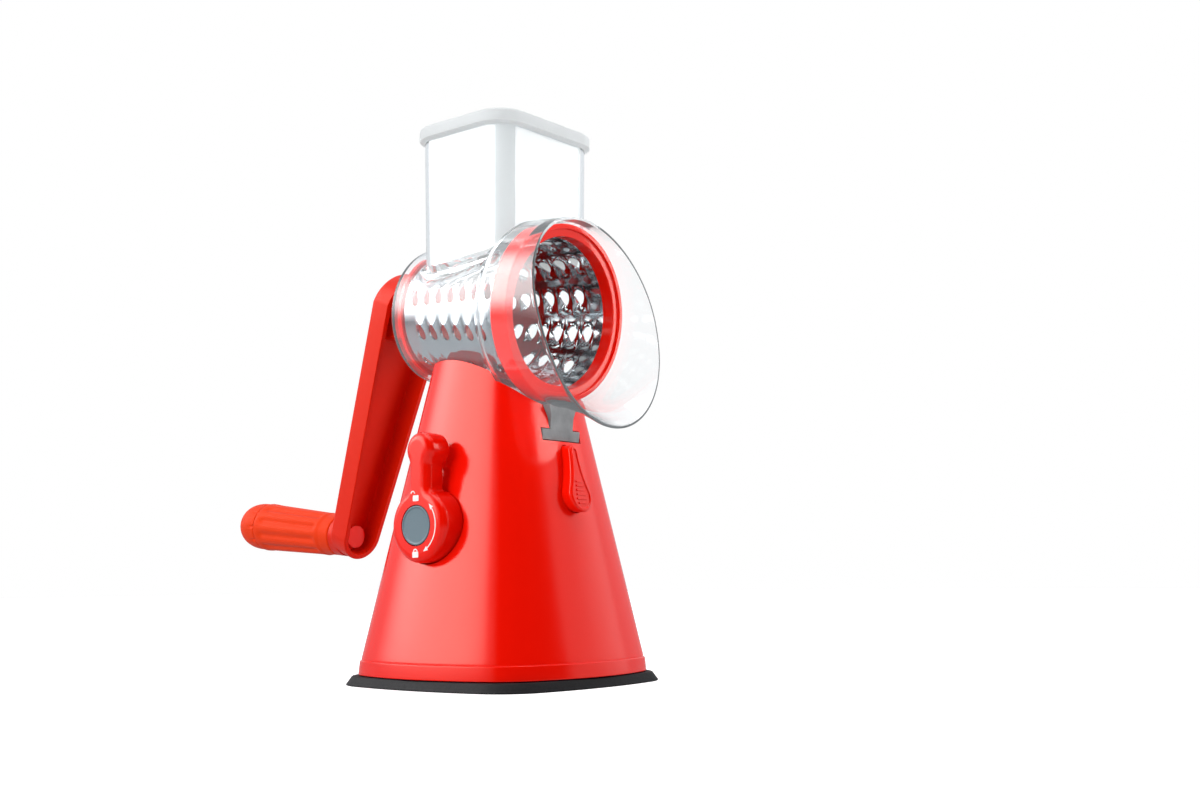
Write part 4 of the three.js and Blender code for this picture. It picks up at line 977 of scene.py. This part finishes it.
def make_hub():
    plug = CONE_REAR_R - SHEET - 0.3
    profile = rounded([
        (0, PLATE_FRONT - 2.2, 0), (plug, PLATE_FRONT - 2.2, 0.5), (plug, PLATE_FRONT, 0),
        (31.6, PLATE_FRONT, 0.4), (31.6, PLATE_REAR, 0.8), (COLLAR_R, PLATE_REAR, 0.8),
        (COLLAR_R, COLLAR_END, 0.6), (0, COLLAR_END, 0)], 4, closed=False)
    core = SHAFT_HALF - SHAFT_WALL
    side = WINDOW_SIDE / 2
    end = SHAFT_TIP - 2.4
    square = prism(rounded_box(SHAFT_HALF, -SHAFT_HALF, SHAFT_HALF, 1.6, 4), COLLAR_END - 1, SHAFT_TIP)
    hub = join(solid(turned(profile, 128)), solid(square))
    cut(hub, solid(block(-core, core, COLLAR_END + 2, SHAFT_TIP + 1, -core, core)),
        solid(block(-20, 20, end - WINDOW_SIDE, end, -side, side)),
        solid(block(-side, side, end - WINDOW_SIDE, end, -20, 20)))
    hub.data.transform(Matrix.Scale(1 / MM, 4))
    hub.data.transform(DRUM_LINE)
    hub.data.transform(Matrix.Scale(MM, 4))
    return hub


finish(softened(make_hub(), 0.3), "drum_back", "drum", "red_plastic", GLOSSY_RED, "drum_hub")

# %% [markdown]
# ## The crank
# The arm is a channel: a strap-shaped tray, open toward the housing, with a square socket at
# the hub and a boss for the grip behind its lower end. The tray is a skin with rounded back
# edges, hollowed by a smaller one.
# %% The arm's own frame
ARM_FACE = 63.5
ARM_SLANT = math.radians(13.3)
ARM_LENGTH = 121.7
ARM_HUB_R = 21.5
ARM_END_R = 12.3
ARM_DEPTH = 13.0
ARM_WALL = 2.7
ARM_LINE = DRUM_LINE @ Matrix.Translation((0, ARM_FACE, 0)) @ Matrix.Rotation(ARM_SLANT, 4, "X")
GRIP_HEIGHT = -ARM_LENGTH * math.cos(ARM_SLANT)
GRIP_START = ARM_FACE + ARM_LENGTH * math.sin(ARM_SLANT)
GRIP_LINE = DRUM_LINE @ Matrix.Translation((0, 0, GRIP_HEIGHT))


def strap_ring(inset, y, steps=32):
    lean = math.degrees(math.asin((ARM_HUB_R - ARM_END_R) / ARM_LENGTH))
    hub = arc((0, 0), ARM_HUB_R - inset, lean, 180 - lean, steps)
    end = arc((0, -ARM_LENGTH), ARM_END_R - inset, 180 - lean, 360 + lean, steps)
    straight = []
    for start, finish_point in ((hub[-1], end[0]), (end[-1], hub[0])):
        straight.append([start.lerp(finish_point, share / 12) for share in range(1, 12)])
    points = hub + straight[0] + end + straight[1]
    return [Vector((point.x, y, point.y)) for point in points]


# %% Arm
def make_arm():
    outside = [(0.5, 0), (0.15, 0.15), (0, 0.5), (0, ARM_DEPTH - 2.2), (0.25, ARM_DEPTH - 1.2),
               (0.8, ARM_DEPTH - 0.5), (1.7, ARM_DEPTH - 0.1), (2.6, ARM_DEPTH)]
    inside = [(ARM_WALL - 0.25, -1), (ARM_WALL, 0.6), (ARM_WALL + 0.3, ARM_DEPTH - ARM_WALL - 1.2),
              (ARM_WALL + 0.7, ARM_DEPTH - ARM_WALL - 0.3), (ARM_WALL + 1.5, ARM_DEPTH - ARM_WALL)]
    tray = solid(skin([strap_ring(inset, y) for inset, y in outside]), ARM_LINE)
    cut(tray, solid(skin([strap_ring(inset, y) for inset, y in inside]), ARM_LINE))
    outer = SHAFT_HALF + RUNNING + 3.1
    inner = SHAFT_HALF + RUNNING
    square = rounded_box(outer, -outer, outer, 1.5, 4)
    socket = solid(prism(square, COLLAR_END + RUNNING, ARM_FACE + 40), DRUM_LINE)
    reach = solid(skin([strap_ring(0, y) for y in (-40, ARM_DEPTH - 1)]), ARM_LINE)
    meet(socket, reach)
    boss_r = ARM_END_R - 1.4
    boss_end = GRIP_START + 16.6
    boss = solid(turned(rounded([
        (0, GRIP_START + ARM_DEPTH - ARM_WALL, 0), (boss_r, GRIP_START + ARM_DEPTH - ARM_WALL, 0),
        (boss_r, boss_end, 0.7), (0, boss_end, 0)], 4, closed=False), 96), GRIP_LINE)
    join(tray, socket, boss)
    spindle = solid(turned([
        (0, GRIP_START - 9), (6.3, GRIP_START - 9), (6.3, GRIP_START + 7.8), (3.4, GRIP_START + 7.8),
        (3.4, GRIP_START + 30), (0, GRIP_START + 30)], 64), GRIP_LINE)
    bore = solid(block(-inner, inner, COLLAR_END - 1, SHAFT_TIP + 1.2, -inner, inner), DRUM_LINE)
    cut(tray, bore, spindle)
    return tray


finish(softened(make_arm(), 0.35), "crank_tray", "crank", "red_plastic", ARM_RED, "crank_arm")

# %% [markdown]
# ## The grip
# A turning sleeve with finger flutes, closed by a domed end. The flutes could be cut one by one.
# Here the sleeve is a skin whose rings dip in and out round the axis, and the dip fades at both
# ends, so each flute ends in a soft round.
# %% Fluted sleeve
GRIP_NECK_R = 11.0
GRIP_R = 13.0
GRIP_END = 98.3
GRIP_CAP_LENGTH = 20.0
SLEEVE_START = GRIP_START + 17.0
SLEEVE_END = GRIP_START + GRIP_END - GRIP_CAP_LENGTH
FLUTES = 10
FLUTE_DEPTH = 1.15
SLEEVE_SIDES = 160


def sleeve_r(y):
    return GRIP_NECK_R + (GRIP_R - GRIP_NECK_R) * (y - SLEEVE_START) / (SLEEVE_END - SLEEVE_START)


def smooth(low, high, value):
    share = min(1, max(0, (value - low) / (high - low)))
    return share * share * (3 - 2 * share)


def sleeve_ring(y, inset=0.0):
    neck = SLEEVE_START + 9
    fade = smooth(neck, neck + 4, y) * (1 - smooth(SLEEVE_END - 7, SLEEVE_END - 2.5, y))
    ring = []
    for step in range(SLEEVE_SIDES):
        angle = 2 * math.pi * step / SLEEVE_SIDES
        dip = FLUTE_DEPTH * fade * (0.5 - 0.5 * math.cos(FLUTES * angle)) ** 1.6
        collar = 0.5 * (1 - smooth(neck - 1.4, neck - 0.4, y))
        radius = sleeve_r(y) + 0.35 - dip - inset - collar
        ring.append(Vector((radius * math.cos(angle), y, radius * math.sin(angle))))
    return ring


def make_sleeve():
    count = 60
    span = SLEEVE_END - SLEEVE_START - 1.6
    rings = [sleeve_ring(SLEEVE_START, 0.9), sleeve_ring(SLEEVE_START + 0.25, 0.3)]
    rings += [sleeve_ring(SLEEVE_START + 0.8 + span * step / count) for step in range(count + 1)]
    rings += [sleeve_ring(SLEEVE_END - 0.3, 0.25), sleeve_ring(SLEEVE_END, 0.8)]
    bore = solid(turned([
        (0, SLEEVE_START - 1), (3.5, SLEEVE_START - 1), (3.5, SLEEVE_END - 4.5),
        (7.4, SLEEVE_END - 4.5), (7.4, SLEEVE_END + 1), (0, SLEEVE_END + 1)], 64), GRIP_LINE)
    return cut(solid(skin(rings), GRIP_LINE), bore)


finish(make_sleeve(), "grip_barrel", "grip", "grip_plastic", GRIP_RED, "grip_sleeve", sharp=45)

# %% Domed end of the grip
NOTCHES = 5


def dome_ring(y, radius):
    """A ring of the dome; small thumb notches bite into its foot."""
    ring = []
    bite = 0.7 * (1 - smooth(SLEEVE_END + 1.5, SLEEVE_END + 5.5, y))
    for step in range(SLEEVE_SIDES):
        angle = 2 * math.pi * step / SLEEVE_SIDES
        notch = bite * max(0, math.cos(NOTCHES * 2 * angle)) ** 10
        ring.append(Vector(((radius - notch) * math.cos(angle), y, (radius - notch) * math.sin(angle))))
    return ring


def make_dome():
    start = SLEEVE_END + 0.3
    straight = 4.0
    dome = GRIP_START + GRIP_END - start - straight
    rings = [dome_ring(start - 2, 7.1), dome_ring(start, 7.1), dome_ring(start, GRIP_R - 0.5),
             dome_ring(start + 0.2, GRIP_R - 0.1)]
    rings += [dome_ring(start + 0.5 + (straight - 0.5) * step / 6, GRIP_R) for step in range(7)]
    steps = 22
    for step in range(1, steps):
        angle = math.pi / 2 * step / steps
        ahead = dome * math.sin(angle) ** 0.92
        rings.append(dome_ring(start + straight + ahead, GRIP_R * math.cos(angle) ** 0.8))
    rings.append(dome_ring(start + straight + dome, 0.05))
    return solid(skin(rings), GRIP_LINE)


finish(make_dome(), "grip_dome", "grip", "grip_plastic", GRIP_RED, "grip_cap", sharp=45)

# %% [markdown]
# ## The suction lever
# A round knob and its handle are one moulding with a soft edge all round. The outline is made of
# arcs that meet smoothly: knob, fillet, neck, fillet and rounded tip. Each arc knows its own
# centre, so the outline can be drawn smaller for each level of the soft edge.
# %% Keyhole outline of the lever
HANDLE_NECK = 6.3
HANDLE_BULB = 8.3
HANDLE_TIP = 43.5
HANDLE_THICK = 11.3
ROOT_FILLET = 4.0
TIP_FILLET = 7.0


def keyhole(inset, steps=10):
    """Right half of the outline, from the bottom of the knob to the tip, then mirrored."""
    knob, bulb = KNOB_R - inset, HANDLE_BULB - inset
    tip_z = HANDLE_TIP - HANDLE_BULB
    root_x = HANDLE_NECK + ROOT_FILLET
    root_z = math.sqrt((KNOB_R + ROOT_FILLET) ** 2 - root_x**2)
    neck_x = HANDLE_NECK + TIP_FILLET
    neck_z = tip_z - math.sqrt((HANDLE_BULB + TIP_FILLET) ** 2 - neck_x**2)
    root_turn = math.degrees(math.atan2(root_z, root_x))
    tip_turn = math.degrees(math.atan2(neck_z - tip_z, neck_x))
    right = arc((0, 0), knob, -90, root_turn, 4 * steps)
    right += arc((root_x, root_z), ROOT_FILLET + inset, root_turn + 180, 180, steps)
    right += arc((neck_x, neck_z), TIP_FILLET + inset, 180, 180 + tip_turn, steps)
    right += arc((0, tip_z), bulb, tip_turn, 90, 3 * steps)
    right.append(Vector((0, tip_z + bulb)))
    return right + [Vector((-point.x, point.y)) for point in reversed(right[1:-1])]


def lever_ring(inset, x, outline=keyhole):
    return [Vector((x, point.x, point.y + LEVER_HEIGHT)) for point in outline(inset)]


# %% Knob and handle
EDGE_R = 4.2
EDGE_STEPS = 9
BULB_DEEPER = 2.6
CAP_R = (cap_high.y - cap_low.y) / 2
CAP_THICK = cap_high.x - cap_low.x


def on_lever(profile, sides=96):
    """A turned form on the lever's axis, from (radius, x) points."""
    return solid(turned(profile, sides), LEVER_LINE)


def make_knob():
    back = LEVER_FACE + HANDLE_THICK
    turns = [math.pi / 2 * step / EDGE_STEPS for step in range(EDGE_STEPS + 1)]
    rings = [lever_ring(EDGE_R * (1 - math.sin(turn)), LEVER_FACE + EDGE_R * (1 - math.cos(turn)))
             for turn in turns]
    rings += [lever_ring(0, back - 0.6), lever_ring(0.6, back)]
    knob = solid(skin(rings))
    base = on_lever([(0, LEVER_FACE + 4), (KNOB_R - 0.4, LEVER_FACE + 4), (KNOB_R, LEVER_FACE + 4.4),
                     (KNOB_R, LEVER_FACE + KNOB_THICK - 0.5), (KNOB_R - 0.5, LEVER_FACE + KNOB_THICK),
                     (0, LEVER_FACE + KNOB_THICK)])
    floor = LEVER_FACE + CAP_THICK
    end = LEVER_FACE + KNOB_THICK + 1
    seat = [(0, LEVER_FACE - 1), (CAP_R + 0.7, LEVER_FACE - 1), (CAP_R + 0.3, LEVER_FACE + 0.35),
            (CAP_R + 0.3, floor + 0.3), (4.7, floor + 0.3), (4.7, floor + 3.7), (2.1, floor + 3.7),
            (2.1, floor + 6), (6.3, floor + 6), (6.3, end), (0, end)]
    bulb_r = HANDLE_BULB - 0.3
    bulb = turned(rounded([(0, back - 1, 0), (bulb_r, back - 1, 0), (bulb_r, back + BULB_DEEPER, 0.8),
                           (0, back + BULB_DEEPER, 0)], closed=False), 96)
    tip_line = Matrix.Translation((0, 0, HANDLE_TIP - HANDLE_BULB)) @ LEVER_LINE
    return cut(join(knob, base, solid(bulb, tip_line)), on_lever(seat))


finish(make_knob(), "suction_lever", "lever", "red_plastic", GLOSSY_RED, "lever_knob", sharp=40)

# %% Cap of the lever, slightly dished
cap_profile = rounded([
    (0, LEVER_FACE + 0.35, 0), (CAP_R - 1.2, LEVER_FACE + 0.3, 0.8), (CAP_R - 0.7, LEVER_FACE, 0.3),
    (CAP_R, LEVER_FACE, 0.35), (CAP_R, LEVER_FACE + CAP_THICK, 0.2),
    (0, LEVER_FACE + CAP_THICK, 0)], 4, closed=False)
finish(on_lever(cap_profile), "lever_disc", "lever", "cap_grey", CAP_GREY, "lever_cap")

# %% [markdown]
# The face of the knob is pad printed in white: a double-ended arrow for the turn, and a padlock,
# open at the top for released and shut at the bottom for locked. The print stands a hair proud,
# because ink has a thickness too.
# %% Print on the lever
PRINT_THICK = 0.06
PRINT_R = 12.9


def printed(outlines, name):
    """Flat shapes on the knob's face; an outline is (right, up) from the lever's axis."""
    front, back = LEVER_FACE - PRINT_THICK, LEVER_FACE + PRINT_THICK
    parts = [solid(prism([(-y, z + LEVER_HEIGHT) for y, z in outline], front, back, "x"))
             for outline in outlines]
    return finish(join(*parts), name, "lever", "milky_plastic", PRINT_WHITE)


def band(centre, radius, width, start, end, steps=24):
    outer = arc(centre, radius + width / 2, start, end, steps)
    inner = arc(centre, radius - width / 2, end, start, steps)
    return outer + inner


def arrow_head(angle, turn):
    """A small triangle on the arrow's arc, pointing along the turn."""
    place = math.radians(angle)
    out = Vector((math.cos(place), math.sin(place)))
    along = Vector((-out.y, out.x)) * turn
    tip = out * PRINT_R + along * 1.9
    return [tip, out * (PRINT_R + 1.1) - along * 0.9, out * (PRINT_R - 1.1) - along * 0.9]


def padlock(z, lift):
    body = rounded_box(1.9, z - 1.5, z + 1.2, 0.4, 3)
    shackle = band((lift, z + 1.1 + abs(lift) * 0.4), 1.2, 0.55, 0, 180, 14)
    return [body, shackle]


printed([band((0, 0), PRINT_R, 0.55, -58, 38), arrow_head(40, 1), arrow_head(-58, -1)], "print_turn_arrow")
printed(padlock(12.7, -1.9), "print_open_padlock")
printed(padlock(-13.2, 0.0), "print_shut_padlock")

# %% [markdown]
# ## The release button
# A drop-shaped button in the front face, raised above it, with a sunk panel and finger ribs
# across its wide end. The button is a skin of the drop outline; the panel is cut and the ribs
# are low bars, shorter toward the narrow end.
# %% Button
BUTTON_PROUD = 5.5
RIBS = 6
RIB_GAP = 2.05


def make_button():
    front = FACE_AT_TABLE - BUTTON_PROUD
    levels = [(1.5, front), (0.9, front + 0.12), (0.4, front + 0.42), (0.1, front + 0.9),
              (0, front + 1.5), (0, FACE_AT_TABLE + 4.5)]
    body = solid(skin([drop_ring(-inset, y) for inset, y in levels]), LEANED)
    flange = solid(skin([drop_ring(1.6, FACE_AT_TABLE + y) for y in (3.4, 5.0)]), LEANED)
    panel_levels = [(1.7, front - 0.5), (2.1, front + 0.55)]
    panel = solid(skin([drop_ring(-inset, y) for inset, y in panel_levels]), LEANED)
    cut(join(body, flange), panel)
    ribs = []
    for number in range(RIBS):
        z = BUTTON_LOW - 3.4 + number * RIB_GAP
        half = 3.9 - 0.28 * number if number else 2.9
        outline = rounded_box(half, z - 0.5, z + 0.5, 0.45, 4)
        ribs.append(solid(prism(outline, front + 0.02, front + 1.2), LEANED))
    return join(body, *ribs)


finish(softened(make_button(), 0.15),
       "release_drop", "button", "red_plastic", GLOSSY_RED, "release_button")

# %% [markdown]
# ## Hardware behind the casing
# The parts that are hidden or barely seen keep their CAD shapes, which are right, and get the
# finish of their own material slot in place of the plain CAD colour.
# %% Finishes for the carried-over nodes
SLOT_LOOKS = {
    "red_plastic": GLOSSY_RED, "grip_plastic": GRIP_RED, "sole_rubber": SOLE_BLACK,
    "clear_plastic": CLEAR, "milky_plastic": MILKY, "drum_steel": POLISHED, "cap_grey": CAP_GREY,
    "nylon": NYLON, "spring_steel": SPRING, "screw_zinc": ZINC,
}
for part in frame["record"]["subparts"]:
    shape = frame["nodes"][part["node"]]
    shape.data.materials.clear()
    shape.data.materials.append(SLOT_LOOKS[part["material_slot"]])

# %% [markdown]
# ## Studio
# A pale sweep of floor, a bright room and soft lamps. What is seen straight on is plain white,
# and only mirrored and scattered light meets the room itself. It is dark in front of the
# machine, as steel shows its shape only when it has something dark to mirror. A softbox painted
# into the room at the left, with soft edges, makes the long highlight on the stand and the white
# band on the barrel. It is there for reflections only. The two fill lamps have no reflection, so
# that the red between the highlights stays deep.
# %% What is seen directly, or straight through the clear plastic
def straight_view(board):
    mirrored = board.node("ShaderNodeLightPath", output="Glossy Depth")
    scattered = board.node("ShaderNodeLightPath", output="Diffuse Depth")
    unturned = board.node(
        "ShaderNodeMath", {"operation": "LESS_THAN"}, {0: mirrored + scattered, 1: 0.5})
    direct = board.node("ShaderNodeLightPath", output="Is Camera Ray")
    through = board.node("ShaderNodeLightPath", output="Is Transmission Ray")
    return unturned * board.node("ShaderNodeMath", {"operation": "MAXIMUM"}, {0: direct, 1: through})


# %% Floor
def make_floor():
    bm = bmesh.new()
    bmesh.ops.create_grid(bm, x_segments=1, y_segments=1, size=4000)
    floor = solid(bm)
    floor.name = "studio_floor"
    made, board = material("studio floor")
    seen = straight_view(board)
    surface(
        board, Base_Color=board.blend(seen, (0.42, 0.43, 0.44, 1), (0.62, 0.62, 0.62, 1)),
        Roughness=0.9, Specular_IOR_Level=0.1, Emission_Strength=1.0,
        Emission_Color=board.blend(seen, (0.05, 0.05, 0.05, 1), (0.8, 0.8, 0.8, 1)))
    floor.data.materials.append(made)


make_floor()


# %% Camera
CAMERA_AT = (-0.51233, -0.47474, 0.04950)
CAMERA_HEADING = -51.13
CAMERA_PITCH = 97.22
CAMERA_ROLL = -0.55
LENS = 42.29


def make_camera():
    camera = bpy.data.objects.new("camera", bpy.data.cameras.new("camera"))
    camera.data.lens = LENS
    camera.data.sensor_width = 36.0
    camera.data.clip_end = 20.0
    camera.matrix_world = (
        Matrix.Translation(CAMERA_AT)
        @ Matrix.Rotation(math.radians(CAMERA_HEADING), 4, "Z")
        @ Matrix.Rotation(math.radians(CAMERA_PITCH), 4, "X")
        @ Matrix.Rotation(math.radians(CAMERA_ROLL), 4, "Z"))
    bpy.context.scene.collection.objects.link(camera)
    bpy.context.scene.camera = camera


make_camera()
print("camera at", CAMERA_AT, "lens", LENS)


# %% The bright room
LEFT_SOFTBOX = (-0.95, 0.80, 0.55)


def make_room():
    scene = bpy.context.scene
    scene.world = bpy.data.worlds.new("bright room")
    scene.world.use_nodes = True
    board = Board(scene.world.node_tree)
    way = board.node("ShaderNodeTexCoord", output="Generated")

    def facing(direction, low, high):
        """1 toward a direction and 0 away from it."""
        dot = board.node("ShaderNodeVectorMath", {"operation": "DOT_PRODUCT"},
                         {0: way, 1: Vector(direction).normalized()}, output="Value")
        return board.node("ShaderNodeMapRange", {"interpolation_type": "SMOOTHSTEP"},
                          {"Value": dot, "From Min": low, "From Max": high})

    mirrored = board.node("ShaderNodeLightPath", output="Is Glossy Ray")
    dark = facing((-0.30, -0.95, 0.05), 0.10, 0.55)
    above = facing((0, 0, 1), -0.05, 0.32)
    softbox = facing(LEFT_SOFTBOX, 0.76, 0.97) * above * mirrored
    walls = board.blend(above, (0.50, 0.53, 0.56, 1), (0.74, 0.77, 0.80, 1))
    bright = board.blend(softbox, walls, (6.2, 6.2, 6.2, 1))
    room = board.blend(dark, bright, (0.006, 0.006, 0.008, 1))
    seen = straight_view(board)
    light = board.node("ShaderNodeBackground", {}, {"Color": board.blend(seen, room, (1, 1, 1, 1))})
    board.node("ShaderNodeOutputWorld", {}, {"Surface": light})
    scene.view_settings.view_transform = "Standard"
    scene.view_settings.look = "None"


make_room()


# %% Soft lamps
def soft_lamp(name, place, aim, size, power, mirrored=True):
    lamp = bpy.data.objects.new(name, bpy.data.lights.new(name, "AREA"))
    lamp.data.shape = "RECTANGLE"
    lamp.data.size, lamp.data.size_y = size
    lamp.data.energy = power
    lamp.location = place
    lamp.rotation_euler = (Vector(aim) - Vector(place)).to_track_quat("-Z", "Y").to_euler()
    lamp.visible_glossy = mirrored
    bpy.context.scene.collection.objects.link(lamp)


MIDDLE = (0, 0, 0.14)
soft_lamp("left fill", (-1.3, -0.05, 0.45), MIDDLE, (0.7, 0.7), 12, mirrored=False)
soft_lamp("front softbox", (1.0, -0.85, 0.45), MIDDLE, (1.1, 1.4), 3)
soft_lamp("front fill", (0.9, -1.0, 0.45), MIDDLE, (0.8, 0.8), 10, mirrored=False)
soft_lamp("top softbox", (0.1, -0.2, 1.3), MIDDLE, (1.0, 1.0), 6)
